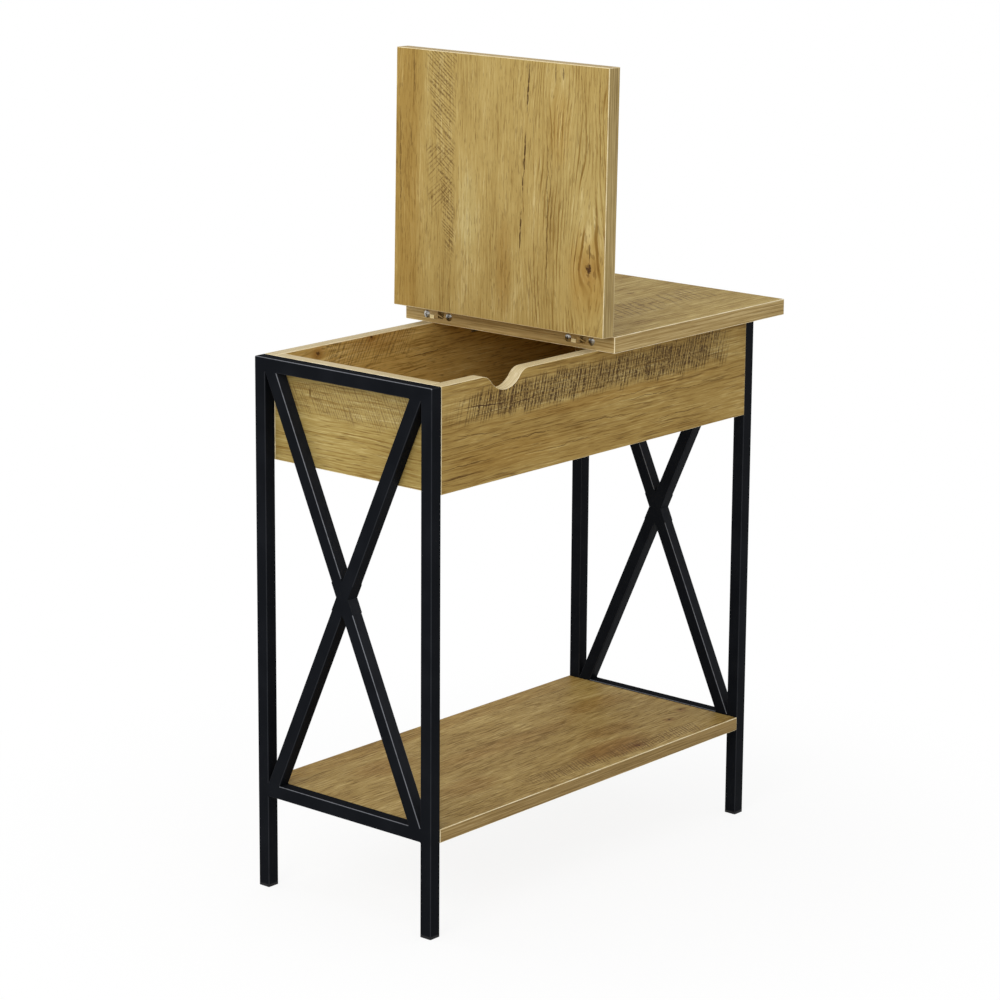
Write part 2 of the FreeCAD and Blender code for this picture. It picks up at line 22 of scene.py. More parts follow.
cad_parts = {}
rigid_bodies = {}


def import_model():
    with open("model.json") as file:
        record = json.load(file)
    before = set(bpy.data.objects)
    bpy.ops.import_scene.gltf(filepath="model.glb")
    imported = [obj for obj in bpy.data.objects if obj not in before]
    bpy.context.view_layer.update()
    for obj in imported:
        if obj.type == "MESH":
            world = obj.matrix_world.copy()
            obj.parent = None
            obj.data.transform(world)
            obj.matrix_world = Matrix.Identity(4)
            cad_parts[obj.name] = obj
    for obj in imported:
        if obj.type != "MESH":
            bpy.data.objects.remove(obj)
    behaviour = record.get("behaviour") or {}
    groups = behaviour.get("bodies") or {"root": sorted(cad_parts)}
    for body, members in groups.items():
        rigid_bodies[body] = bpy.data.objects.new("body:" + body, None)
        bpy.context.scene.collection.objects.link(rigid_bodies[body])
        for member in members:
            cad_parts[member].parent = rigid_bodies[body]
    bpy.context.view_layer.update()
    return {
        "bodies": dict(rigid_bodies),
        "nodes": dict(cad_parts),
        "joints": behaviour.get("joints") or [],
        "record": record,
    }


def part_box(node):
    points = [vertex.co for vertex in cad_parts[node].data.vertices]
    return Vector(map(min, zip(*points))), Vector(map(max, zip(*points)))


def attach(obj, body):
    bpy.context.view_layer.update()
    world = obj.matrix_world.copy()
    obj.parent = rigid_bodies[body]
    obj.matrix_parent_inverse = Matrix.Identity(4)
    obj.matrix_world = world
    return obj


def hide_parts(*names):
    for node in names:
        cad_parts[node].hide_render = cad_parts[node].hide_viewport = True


log = logging.getLogger("end_table")

Colour = tuple[float, float, float, float]

BOARD_MAP = "board_run"
WHITE = (1.0, 1.0, 1.0, 1.0)


def paint(red: int, green: int, blue: int) -> Colour:
    """Linear colour of an 8-bit display colour.

    Args:
        red: Red, 0 to 255.
        green: Green, 0 to 255.
        blue: Blue, 0 to 255.

    Returns:
        The colour with an alpha of 1.
    """
    def linear(value: int) -> float:
        """One channel without its display curve."""
        share = value / 255
        return share / 12.92 if share <= 0.04045 else ((share + 0.055) / 1.055) ** 2.4

    return linear(red), linear(green), linear(blue), 1.0


class Axis(IntEnum):
    """Axes of the table: X along it, Y from front to back, Z up."""

    X = 0
    Y = 1
    Z = 2


class Kind(Enum):
    """Kinds of socket, by the type that a socket itself says it has."""

    VALUE = "NodeSocketFloat"
    RGBA = "NodeSocketColor"
    VECTOR = "NodeSocketVector"


# ---------------------------------------------------------------- laying nodes


class Value:
    """What a socket gives: +, -, *, / and abs() lay a Math node on it."""

    def __init__(self, bench: NodeBench, socket: bpy.types.NodeSocket) -> None:
        """Hold a socket of a bench's tree."""
        self.bench = bench
        self.socket = socket

    def __add__(self, other: Source) -> Value:
        """This value plus another."""
        return self.bench.maths("ADD", self, other)

    def __sub__(self, other: Source) -> Value:
        """This value less another."""
        return self.bench.maths("SUBTRACT", self, other)

    def __rsub__(self, other: Source) -> Value:
        """Another value less this one."""
        return self.bench.maths("SUBTRACT", other, self)

    def __mul__(self, other: Source) -> Value:
        """This value times another."""
        return self.bench.maths("MULTIPLY", self, other)

    def __truediv__(self, other: Source) -> Value:
        """This value divided by another."""
        return self.bench.maths("DIVIDE", self, other)

    def __abs__(self) -> Value:
        """This value without its sign."""
        return self.bench.maths("ABSOLUTE", self)

    __radd__ = __add__


Source = Value | bpy.types.NodeSocket | float | Sequence[float]


class NodeBench:
    """Lays shader nodes in one tree and wires them together."""

    def __init__(self, tree: bpy.types.NodeTree) -> None:
        """Start on a tree."""
        self.tree = tree

    def feed(self, socket: bpy.types.NodeSocket, source: Source) -> None:
        """Wire a socket to another, or set its value.

        Args:
            socket: An input of a node.
            source: What it is fed.
        """
        if isinstance(source, Value):
            source = source.socket
        if isinstance(source, bpy.types.NodeSocket):
            self.tree.links.new(source, socket)
        else:
            socket.default_value = source

    def wire(self, node: bpy.types.Node, sources: dict[str, Source]) -> None:
        """Feed sockets of a node by their names."""
        for name, source in sources.items():
            self.feed(node.inputs[name], source)

    def lay(self, kind: str, *sources: Source, **settings: object) -> bpy.types.Node:
        """A new node with its settings.

        Args:
            kind: Blender's name of the node type.
            sources: What its sockets are fed, from the first one on.
            settings: Properties of the node.

        Returns:
            The node.
        """
        made = self.tree.nodes.new(kind)
        for name, value in settings.items():
            setattr(made, name, value)
        for socket, source in zip(made.inputs, sources):
            self.feed(socket, source)
        return made

    def out(self, node: bpy.types.Node) -> Value:
        """What a node's first output gives."""
        return Value(self, node.outputs[0])

    def maths(self, operation: str, *sources: Source, clamp: bool = False) -> Value:
        """Result of a Math node on its sources."""
        return self.out(self.lay("ShaderNodeMath", *sources, operation=operation, use_clamp=clamp))

    def ramp(self, value: Source, start: Source, end: Source, low: float = 0.0, high: float = 1.0) -> Value:
        """Smooth step of a value.

        Args:
            value: What is mapped.
            start: Value that gives low.
            end: Value that gives high.
            low: Result before start.
            high: Result after end.

        Returns:
            The mapped value, which stays between low and high.
        """
        return self.out(self.lay("ShaderNodeMapRange", value, start, end, low, high,
                                 interpolation_type="SMOOTHSTEP"))

    def fall(self, value: Source, start: Source, end: Source) -> Value:
        """Smooth step down, from 1 before start to 0 after end."""
        return self.ramp(value, start, end, low=1.0, high=0.0)

    def split(self, vector: Source) -> list[Value]:
        """The three parts of a vector."""
        return [Value(self, part) for part in self.lay("ShaderNodeSeparateXYZ", vector).outputs]

    def join(self, first: Source, second: Source, third: Source) -> Value:
        """A vector of three values."""
        return self.out(self.lay("ShaderNodeCombineXYZ", first, second, third))

    def coordinates(self, kind: str = "Object") -> Value:
        """Place of a point in metres, or its Normal."""
        return Value(self, self.lay("ShaderNodeTexCoord").outputs[kind])

    def noise(self, first: Source, second: Source, third: Source, detail: float = 2.0,
              roughness: float = 0.5) -> Value:
        """Noise about 0.5.

        Args:
            first: First coordinate times its rate.
            second: Second coordinate times its rate.
            third: Third coordinate times its rate, or a seed.
            detail: Number of finer layers.
            roughness: Weight of each finer layer.

        Returns:
            The noise.
        """
        made = self.lay("ShaderNodeTexNoise", noise_dimensions="3D")
        self.wire(made, {"Scale": 1.0, "Detail": detail, "Roughness": roughness,
                         "Vector": self.join(first, second, third)})
        return self.out(made)

    def blend(self, share: Source, first: Source, second: Source, mode: str = "MIX") -> Value:
        """Mix of two colours.

        Args:
            share: How much of the second shows.
            first: Colour below.
            second: Colour laid over it.
            mode: Blend mode.

        Returns:
            The mixed colour.
        """
        made = self.lay("ShaderNodeMix", share, data_type="RGBA", blend_type=mode)
        below, over = [socket for socket in made.inputs if socket.type == Kind.RGBA.name]
        self.feed(below, first)
        self.feed(over, second)
        return Value(self, next(socket for socket in made.outputs if socket.type == Kind.RGBA.name))

    def named(self, sockets: Iterable[bpy.types.NodeSocket]) -> SimpleNamespace:
        """What sockets give, by their names."""
        return SimpleNamespace(**{socket.name: Value(self, socket) for socket in sockets if socket.name})

    def effect(self, group: bpy.types.NodeTree, feature: object, **more: Source) -> SimpleNamespace:
        """A shared effect placed in this tree.

        Args:
            group: The effect's node group.
            feature: Has a value for each socket of the group that isn't in more.
            more: Sources by the sockets' names.

        Returns:
            The effect's results by name.
        """
        made = self.lay("ShaderNodeGroup", node_tree=group)
        for socket in made.inputs:
            self.feed(socket, more[socket.name] if socket.name in more else getattr(feature, socket.name))
        return self.named(made.outputs)


# ---------------------------------------------------------------- shared effects


class EffectBench(NodeBench):
    """Bench of a new shared effect, whose inputs are a surface, colours and values."""

    def __init__(self, name: str, values: str, colours: str = "") -> None:
        """Start the effect's node group.

        Args:
            name: The effect's name.
            values: Names of its value inputs.
            colours: Names of its colour inputs.
        """
        super().__init__(bpy.data.node_groups.new(name, "ShaderNodeTree"))
        for names, kind in (("surface", Kind.VECTOR), (colours, Kind.RGBA), (values, Kind.VALUE)):
            for label in names.split():
                self.tree.interface.new_socket(name=label, in_out="INPUT", socket_type=kind.value)
        self.given = self.named(self.lay("NodeGroupInput").outputs)

    def leave(self, **results: Value) -> bpy.types.NodeTree:
        """Give the group its named results.

        Args:
            results: The results by name.

        Returns:
            The finished group.
        """
        for label, result in results.items():
            self.tree.interface.new_socket(name=label, in_out="OUTPUT",
                                           socket_type=Kind[result.socket.type].value)
        self.lay("NodeGroupOutput", *results.values())
        return self.tree


def oval(run: Value, side: Value, length: Source, width: Source) -> Value:
    """Squared distance in an oval, 1 on its outline.

    Args:
        run: Distance from its middle along the grain.
        side: Distance from its middle across the grain.
        length: Its half length.
        width: Its half width.

    Returns:
        The squared distance.
    """
    far_along, far_across = run / length, side / width
    return far_along * far_along + far_across * far_across


class Effects:
    """Shader node groups that the finishes share, each built once."""

    pore: Colour = paint(88, 60, 28)

    def __init__(self) -> None:
        """Build every effect."""
        self.oak = self.oak_figure()
        self.saw = self.saw_marks()
        self.crack = self.drying_crack()
        self.knot = self.oak_knot()
        self.patch = self.soft_patch()
        self.coat = self.paint_coat()
        self.metal = self.metal_grain()

    def oak_figure(self) -> bpy.types.NodeTree:
        """Colour and relief of plain oak: clouds, lines, fibres, growth rings and short dark pores."""
        bench = EffectBench("oak_figure", "wander clouds lines fibres rings ring_rate ring_sway pores "
                            "pore_gate pore_run", "dark middle light")
        given = bench.given
        u, v, seed = bench.split(given.surface)
        v += (bench.noise(u * 6.0, v * 16.0, seed) - 0.5) * given.wander
        clouds = bench.noise(u * 8.0, v * 30.0, seed + 3.1, detail=3.0, roughness=0.55)
        lines = bench.noise(u * 9.0, v * 520.0, seed + 7.7, detail=3.0, roughness=0.7)
        fibres = bench.noise(u * 42.0, v * 720.0, seed + 11.3, detail=2.0, roughness=0.65)
        tone = 0.5
        for layer, amount in ((clouds, given.clouds), (lines, given.lines), (fibres, given.fibres)):
            tone += (layer - 0.5) * amount
        colour = bench.blend(bench.ramp(tone, 0.05, 0.5), given.dark, given.middle)
        colour = bench.blend(bench.ramp(tone, 0.5, 0.95), colour, given.light)
        sway = bench.noise(u * 5.0, v * 22.0, seed + 41.0)
        gate = bench.noise(u * 13.0, v * 52.0, seed + 23.3, detail=3.0, roughness=0.6)
        phase = v * given.ring_rate + sway * given.ring_sway
        rings = bench.ramp(bench.maths("COSINE", phase * math.tau), 0.3, 1.0)
        rings = rings * bench.ramp(gate, 0.38, 0.62, low=0.15, high=1.0) * given.rings
        colour = bench.blend(rings, colour, given.dark)
        specks = bench.noise(u * given.pore_run, v * 880.0, seed + 17.9, detail=1.0) + (gate - 0.5) * 0.3
        pores = bench.ramp(specks, given.pore_gate, given.pore_gate + 0.07) * given.pores
        colour = bench.blend(pores, colour, self.pore)
        return bench.leave(colour=colour, height=tone * 0.6 - (pores + rings * 0.5))

    def saw_marks(self) -> bpy.types.NodeTree:
        """Mask of a band of short strokes that a saw left across the grain."""
        bench = EffectBench("saw_marks", "start end middle tilt half_width start_share slant pitch cover "
                            "sharp_side")
        given = bench.given
        u, v, seed = bench.split(given.surface)
        past = u - given.start
        run = past / (given.end - given.start)
        ragged = (bench.noise(u * 70.0, v * 30.0, seed + 2.0) - 0.5) * 1.1
        widening = bench.ramp(run, 0.0, 1.0) * (1.0 - given.start_share)
        half = given.half_width * (given.start_share + widening)
        middle = given.middle + past * given.tilt + given.sharp_side * (given.half_width - half)
        offset = (v - middle) / half
        soft = bench.fall(abs(offset) + ragged, 0.55, 1.05)
        cut = bench.fall(offset * given.sharp_side, 0.96, 1.0)
        frayed = run + ragged * 0.12
        ends = bench.ramp(frayed, 0.0, 0.14) * bench.fall(frayed, 0.86, 1.0)
        cosine = bench.maths("COSINE", given.slant)
        sine = bench.maths("SINE", given.slant)
        along = u * cosine + v * sine
        step = (v * cosine - u * sine) / given.pitch
        wobble = bench.noise(along * 9.0, step * 0.35, seed)
        wave = bench.maths("COSINE", (step + wobble * 3.0) * math.tau) * 0.22
        rough = bench.noise(along * 26.0, step * 1.7, seed + 4.0, detail=2.0, roughness=0.65)
        strokes = bench.ramp(wave + rough, 0.58 - given.cover, 0.76 - given.cover)
        crumbs = bench.noise(u * 420.0, v * 420.0, seed)
        strokes *= bench.ramp(crumbs, 0.32, 0.6, low=0.25, high=1.0)
        return bench.leave(mask=soft * cut * (ends * strokes))

    def drying_crack(self) -> bpy.types.NodeTree:
        """Mask of a thin crack that wanders along the grain and tapers at both ends."""
        bench = EffectBench("drying_crack", "along across half_length half_width slope wobble")
        given = bench.given
        u, v, seed = bench.split(given.surface)
        run = u - given.along
        share = run / given.half_length
        taper = bench.maths("SUBTRACT", 1.0, share * share, clamp=True)
        wobble = bench.noise(u * 75.0, given.across, seed + 5.0)
        line = given.across + run * given.slope + (wobble - 0.5) * given.wobble
        break_up = bench.noise(u * 210.0, given.along, seed, detail=1.0)
        half = given.half_width * taper * bench.ramp(break_up, 0.3, 0.5, low=0.35, high=1.0)
        mask = bench.fall(abs(v - line), half * 0.35, half + 0.00005)
        return bench.leave(mask=mask * bench.ramp(taper, 0.0, 0.15))

    def oak_knot(self) -> bpy.types.NodeTree:
        """A knot: the surface bent so that the grain flows round it, its dark core and warm halo."""
        bench = EffectBench("oak_knot", "along across reach_along reach_across bend core")
        given = bench.given
        u, v, seed = bench.split(given.surface)
        run = u - given.along
        side = v - given.across
        near = bench.maths("EXPONENT", oval(run, side, given.reach_along, given.reach_across) * -1.0)
        bent = given.across + side * (1.0 - near * given.bend)
        ragged = bench.noise(u * 330.0, v * 330.0, seed, detail=2.0, roughness=0.7)
        size = bench.maths("SQRT", oval(run, side, given.core, given.core * 0.8)) + (ragged - 0.5) * 1.9
        return bench.leave(surface=bench.join(u, bent, seed),
                           core=bench.fall(size, 0.35, 0.95),
                           halo=bench.fall(size * 0.3, 0.2, 1.1))

    def soft_patch(self) -> bpy.types.NodeTree:
        """Mask of a soft oval patch."""
        bench = EffectBench("soft_patch", "along across reach_along reach_across")
        given = bench.given
        u, v, seed = bench.split(given.surface)
        spread = oval(u - given.along, v - given.across, given.reach_along, given.reach_across)
        spread += (bench.noise(u * 26.0, v * 60.0, seed, detail=3.0, roughness=0.6) - 0.5) * 1.2
        return bench.leave(mask=bench.fall(spread, 0.0, 1.3))

    def paint_coat(self) -> bpy.types.NodeTree:
        """Colour, roughness and relief of a sprayed coat with faint dust and a lighter edge colour, partly
        paint wearing thin and partly a painted highlight.
        """
        bench = EffectBench("paint_coat", "edge roughness", "coat dust worn")
        given = bench.given
        x, y, z = bench.split(given.surface)
        clouds = bench.noise(x * 24.0, y * 24.0, z * 24.0, detail=3.0)
        peel = bench.noise(x * 900.0, y * 900.0, z * 900.0)
        edge_breakup = bench.noise(x * 150.0, y * 150.0, z * 60.0, detail=3.0, roughness=0.6)
        colour = bench.blend(bench.ramp(clouds, 0.35, 0.75), given.coat, given.dust)
        # The edge mask brings in the lighter corner colour: partly paint wearing thin, partly a painted
        # highlight.
        colour = bench.blend(given.edge * bench.ramp(edge_breakup, 0.2, 0.55, low=0.55, high=1.0), colour, given.worn)
        return bench.leave(colour=colour, roughness=given.roughness + (clouds - 0.5) * 0.12, height=peel)

    def metal_grain(self) -> bpy.types.NodeTree:
        """Colour, roughness and relief of small bare or plated metal with tarnish."""
        bench = EffectBench("metal_grain", "roughness", "bright dull")
        given = bench.given
        x, y, z = bench.split(given.surface)
        spots = bench.noise(x * 260.0, y * 260.0, z * 260.0, detail=3.0, roughness=0.6)
        brush = bench.noise(x * 2400.0, y * 300.0, z * 2400.0)
        colour = bench.blend(bench.ramp(spots, 0.35, 0.7), given.bright, given.dull)
        return bench.leave(colour=colour, roughness=given.roughness + (spots - 0.5) * 0.2, height=brush)


# ---------------------------------------------------------------- finishes


class FinishBench(NodeBench):
    """Bench of a new material with one Principled shader."""

    def __init__(self, name: str) -> None:
        """Start a material."""
        self.material = bpy.data.materials.new(name)
        self.material.use_nodes = True
        super().__init__(self.material.node_tree)

    def dress(self, sources: dict[str, Source], height: Source | None = None, depth: float = 0.0,
              strength: float = 0.0) -> bpy.types.Material:
        """Feed the shader and bump it.

        Args:
            sources: What its sockets are fed, by name.
            height: Height of the surface, where it has relief.
            depth: Metres that a height of 1 stands for.
            strength: Share of the bump that shows.

        Returns:
            The finished material.
        """
        shader = self.tree.nodes["Principled BSDF"]
        self.wire(shader, sources)
        if height is not None:
            bump = self.lay("ShaderNodeBump")
            self.wire(bump, {"Strength": strength, "Distance": depth, "Height": height})
            self.wire(shader, {"Normal": self.out(bump)})
        return self.material


@dataclass(frozen=True)
class SawBand:
    """Strokes of a saw across the grain, in a band along it."""

    start: float
    end: float
    middle: float
    half_width: float
    degrees: float
    pitch: float
    cover: float = 0.06
    strength: float = 0.75
    tilt: float = 0.0
    start_share: float = 1.0
    sharp_side: float = 0.0
    ink: Colour = paint(96, 68, 36)

    @property
    def slant(self) -> float:
        """The strokes' angle to the grain, in radians."""
        return math.radians(self.degrees)


@dataclass(frozen=True)
class Crack:
    """A drying crack along the grain."""

    along: float
    across: float
    half_length: float
    half_width: float = 0.0009
    slope: float = 0.0
    wobble: float = 0.003
    strength: float = 0.95
    ink: Colour = paint(66, 40, 20)


@dataclass(frozen=True)
class Knot:
    """A knot and the bend that it gives to the grain around it."""

    along: float
    across: float
    reach_along: float
    reach_across: float
    core: float
    bend: float = 0.85
    strength: float = 0.85
    halo: float = 0.5
    warm: Colour = paint(190, 140, 74)
    ink: Colour = paint(62, 38, 22)


@dataclass(frozen=True)
class Patch:
    """A soft patch of another tone."""

    along: float
    across: float
    reach_along: float
    reach_across: float
    tone: Colour
    strength: float = 0.5


@dataclass(frozen=True)
class Seam:
    """Line where the printed planks meet: what lies past it across the grain has another tone."""

    across: float
    tone: Colour
    strength: float = 0.5
    softness: float = 0.0006


@dataclass(frozen=True)
class OakTones:
    """Three tones of a board and the weight of each part of its figure."""

    dark: Colour = paint(132, 102, 48)
    middle: Colour = paint(172, 147, 87)
    light: Colour = paint(200, 180, 124)
    wander: float = 0.010
    clouds: float = 0.9
    lines: float = 1.3
    fibres: float = 1.1
    rings: float = 0.3
    ring_rate: float = 230.0
    ring_sway: float = 9.0
    pores: float = 0.6
    pore_gate: float = 0.63
    pore_run: float = 75.0
    roughness: float = 0.5


@dataclass(frozen=True)
class LaminateFace:
    """Printed laminate on one face of a board.

    Its features are placed in u along the grain and v across it, from the board's zero. They are
    part of the print, so only the oak's pores and fibres have relief. Past ring_fade, which runs
    across the grain, the growth rings keep their faded share.
    """

    name: str
    seed: float
    tones: OakTones = OakTones()
    patches: tuple[Patch, ...] = ()
    seams: tuple[Seam, ...] = ()
    saw_bands: tuple[SawBand, ...] = ()
    cracks: tuple[Crack, ...] = ()
    knots: tuple[Knot, ...] = ()
    ring_fade: tuple[float, float] | None = None
    faded: float = 0.2
    pore_dullness: float = 0.12
    gloss: float = 0.06

    def material(self, effects: Effects, board: Board) -> bpy.types.Material:
        """The face's material.

        Args:
            effects: The shared effects.
            board: The board that the face is on.

        Returns:
            The new material.
        """
        bench = FinishBench(self.name)
        place = bench.split(bench.coordinates())
        straight = bench.join(place[board.along] - board.zero_along, place[board.across] - board.zero_across,
                              self.seed)
        surface = straight
        drawn_knots = []
        for knot in self.knots:
            drawn_knots.append(bench.effect(effects.knot, knot, surface=surface))
            surface = drawn_knots[-1].surface
        across = bench.split(straight)[1]
        rings = self.tones.rings
        if self.ring_fade is not None:
            rings = bench.ramp(across, *self.ring_fade, low=rings, high=rings * self.faded)
        oak = bench.effect(effects.oak, self.tones, surface=surface, rings=rings)
        colour = oak.colour
        for seam in self.seams:
            side = bench.ramp(across, seam.across - seam.softness, seam.across + seam.softness)
            colour = bench.blend(side * seam.strength, colour, seam.tone, "MULTIPLY")
        for patch in self.patches:
            mask = bench.effect(effects.patch, patch, surface=straight).mask
            colour = bench.blend(mask * patch.strength, colour, patch.tone, "MULTIPLY")
        for effect, marks in ((effects.saw, self.saw_bands), (effects.crack, self.cracks)):
            for mark in marks:
                mask = bench.effect(effect, mark, surface=straight).mask
                colour = bench.blend(mask * mark.strength, colour, mark.ink)
        for knot, drawn in zip(self.knots, drawn_knots):
            colour = bench.blend(drawn.halo * knot.halo, colour, knot.warm, "MULTIPLY")
            colour = bench.blend(drawn.core * knot.strength, colour, knot.ink)
        smooth = self.tones.roughness
        rough = bench.ramp(oak.height, -0.6, 0.6, low=smooth + self.pore_dullness, high=smooth)
        return bench.dress({"Base Color": colour, "Roughness": rough, "Specular IOR Level": self.gloss},
                           oak.height, depth=0.00012, strength=0.35)


@dataclass(frozen=True)
class EdgeBand:
    """Thin printed band glued round a board; its lines run along the edge."""

    seed: float
    dark: Colour = paint(128, 104, 60)
    middle: Colour = paint(160, 136, 88)
    light: Colour = paint(188, 167, 120)
    lines: float = 1.9
    rings: float = 0.75
    pores: float = 0.4
    wander: float = 0.002
    clouds: float = 0.4
    fibres: float = 0.9
    ring_rate: float = 170.0
    ring_sway: float = 3.0
    pore_gate: float = 0.64
    pore_run: float = 45.0
    stretch: tuple[float, float] = (0.8, 1.5)
    roughness: float = 0.5
    gloss: float = 0.1

    def material(self, effects: Effects, name: str) -> bpy.types.Material:
        """The band's material.

        Args:
            effects: The shared effects.
            name: The material's name.

        Returns:
            The new material.
        """
        bench = FinishBench(name)
        u, v, _ = bench.split(bench.out(bench.lay("ShaderNodeUVMap", uv_map=BOARD_MAP)))
        surface = bench.join(u * self.stretch[0], v * self.stretch[1], self.seed)
        oak = bench.effect(effects.oak, self, surface=surface)
        return bench.dress({"Base Color": oak.colour, "Roughness": self.roughness,
                            "Specular IOR Level": self.gloss},
                           oak.height, depth=0.0001, strength=0.3)


@dataclass(frozen=True)
class TrimLine:
    """The pale line where the band and the laminate are trimmed flush."""

    pale: Colour = paint(238, 224, 188)
    warm: Colour = paint(220, 200, 152)

    def material(self, name: str) -> bpy.types.Material:
        """The trim line's material.

        Args:
            name: The material's name.

        Returns:
            The new material.
        """
        bench = FinishBench(name)
        x, y, z = bench.split(bench.coordinates())
        wear = bench.noise(x * 60.0, y * 60.0, z * 60.0, detail=3.0, roughness=0.6)
        colour = bench.blend(bench.ramp(wear, 0.35, 0.65), self.pale, self.warm)
        rough = bench.ramp(wear, 0.3, 0.7, low=0.38, high=0.5)
        return bench.dress({"Base Color": colour, "Roughness": rough})


@dataclass(frozen=True)
class SteelPaint:
    """Satin black paint on welded square tube."""

    name: str
    coat: Colour = paint(15, 17, 21)
    dust: Colour = paint(20, 22, 26)
    # Lighter colour of the corners and slopes: a painted highlight and painted light, also standing for paint
    # wearing thin on the corners.
    worn: Colour = paint(130, 132, 138)
    # Share of that lighter colour painted on slopes that face up and to the front: painted light.
    slope_dust: float = 0.045
    flat_dust: float = 0.45
    roughness: float = 0.42
    gloss: float = 0.018

    def material(self, effects: Effects) -> bpy.types.Material:
        """The paint's material: a painted highlight on the tubes' rounded corners that face up and to the
        front, also standing for paint wearing thin there, painted light on slopes that face up and to the
        front, and duller on flat tops.

        Args:
            effects: The shared effects.

        Returns:
            The new material.
        """
        bench = FinishBench(self.name)
        across, back, up = bench.split(bench.coordinates("Normal"))
        sideways = across * across
        corner = sideways * (1.0 - sideways) * 4.0
        # Painted highlight: the lighter colour shows most on corners that face up and towards the front,
        # where light would catch them; the corner mask also stands for paint wearing thin.
        facing = up * 0.85 - back * 0.6 + abs(across) * 0.3
        painted_highlight_share = bench.ramp(facing, 0.64, 0.92, low=0.07, high=0.9)
        # Painted light on slopes that face up and to the front, in place of the light that falls on them.
        slope = bench.ramp(up * back * -1.0, 0.2, 0.4, low=0.0, high=self.slope_dust)
        edge = bench.ramp(corner, 0.25, 0.8) * painted_highlight_share + slope
        coat = bench.effect(effects.coat, self, surface=bench.coordinates(), edge=edge)
        duller = bench.ramp(up, 0.9, 0.98, low=0.0, high=self.flat_dust)
        return bench.dress({"Base Color": coat.colour, "Roughness": coat.roughness + duller,
                            "Specular IOR Level": self.gloss}, coat.height, depth=0.00004, strength=0.25)


@dataclass(frozen=True)
class MetalFinish:
    """Bare or plated metal of the small fittings.

    The hinge leaves' bosses stand proud of their boards and are paler: they lie below proud_x.
    """

    name: str
    bright: Colour
    dull: Colour
    roughness: float
    metallic: float = 1.0
    proud_x: float | None = None
    proud: Colour = paint(238, 222, 170)
    proud_step: float = 0.00005

    def material(self, effects: Effects) -> bpy.types.Material:
        """The metal's material.

        Args:
            effects: The shared effects.

        Returns:
            The new material.
        """
        bench = FinishBench(self.name)
        place = bench.coordinates()
        metal = bench.effect(effects.metal, self, surface=place)
        colour = metal.colour
        if self.proud_x is not None:
            x = bench.split(place)[Axis.X]
            boss = bench.fall(x, self.proud_x - self.proud_step, self.proud_x)
            colour = bench.blend(boss, colour, self.proud)
        return bench.dress({"Base Color": colour, "Roughness": metal.roughness, "Metallic": self.metallic},
                           metal.height, depth=0.00002, strength=0.3)


@dataclass(frozen=True)
class MattePlastic:
    """Moulded black plastic of the feet."""

    name: str
    colour: Colour = paint(20, 20, 22)
    scuffed: Colour = paint(40, 40, 42)
    gloss: float = 0.2

    def material(self) -> bpy.types.Material:
        """The plastic's material."""
        bench = FinishBench(self.name)
        x, y, z = bench.split(bench.coordinates())
        spark = bench.noise(x * 1500.0, y * 1500.0, z * 1500.0, detail=1.0)
        scuff = bench.noise(x * 130.0, y * 130.0, z * 300.0, detail=3.0)
        colour = bench.blend(bench.ramp(scuff, 0.5, 0.75), self.colour, self.scuffed)
        rough = bench.ramp(scuff, 0.3, 0.7, low=0.55, high=0.7)
        return bench.dress({"Base Color": colour, "Roughness": rough, "Specular IOR Level": self.gloss},
                           spark, depth=0.00005, strength=0.4)


@dataclass(frozen=True)
class BareBeech:
    """Pale bare wood of the dowels."""

    name: str
    seed: float = 4.0
    tones: OakTones = OakTones(dark=paint(176, 140, 94), middle=paint(205, 172, 124),
                               light=paint(222, 196, 152), wander=0.002, clouds=0.6, lines=0.6, fibres=0.5,
                               rings=0.1, ring_rate=300.0, ring_sway=4.0, pores=0.2, pore_gate=0.68,
                               roughness=0.7)

    def material(self, effects: Effects) -> bpy.types.Material:
        """The wood's material.

        Args:
            effects: The shared effects.

        Returns:
            The new material.
        """
        bench = FinishBench(self.name)
        x, y, z = bench.split(bench.coordinates())
        wood = bench.effect(effects.oak, self.tones, surface=bench.join(y, x + z, self.seed))
        return bench.dress({"Base Color": wood.colour, "Roughness": self.tones.roughness},
                           wood.height, depth=0.0001, strength=0.4)


# ---------------------------------------------------------------- boards


def add_object(name: str, data: bpy.types.ID) -> bpy.types.Object:
    """A new object in the scene.

    Args:
        name: The object's name.
        data: Its mesh, lamp or camera.

    Returns:
        The object.
    """
    made = bpy.data.objects.new(name, data)
    bpy.context.scene.collection.objects.link(made)
    return made


def add_shape(name: str, shape: bmesh.types.BMesh,
              materials: Iterable[bpy.types.Material]) -> bpy.types.Object:
    """A new object in the scene from a bmesh, which is freed.

    Args:
        name: Name of the object and its mesh.
        shape: The shape.
        materials: Its materials in order.

    Returns:
        The object.
    """
    mesh = bpy.data.meshes.new(name)
    shape.to_mesh(mesh)
    shape.free()
    for material in materials:
        mesh.materials.append(material)
    return add_object(name, mesh)


class Skin(IntEnum):
    """Materials of a board, in the order of its mesh."""

    LOW_FACE = 0
    HIGH_FACE = 1
    BAND = 2
    TRIM = 3


@dataclass(frozen=True)
class Notch:
    """Space at a board's top edge that holds the finger notch, with a millimetre to spare."""

    start: float
    end: float
    bottom: float


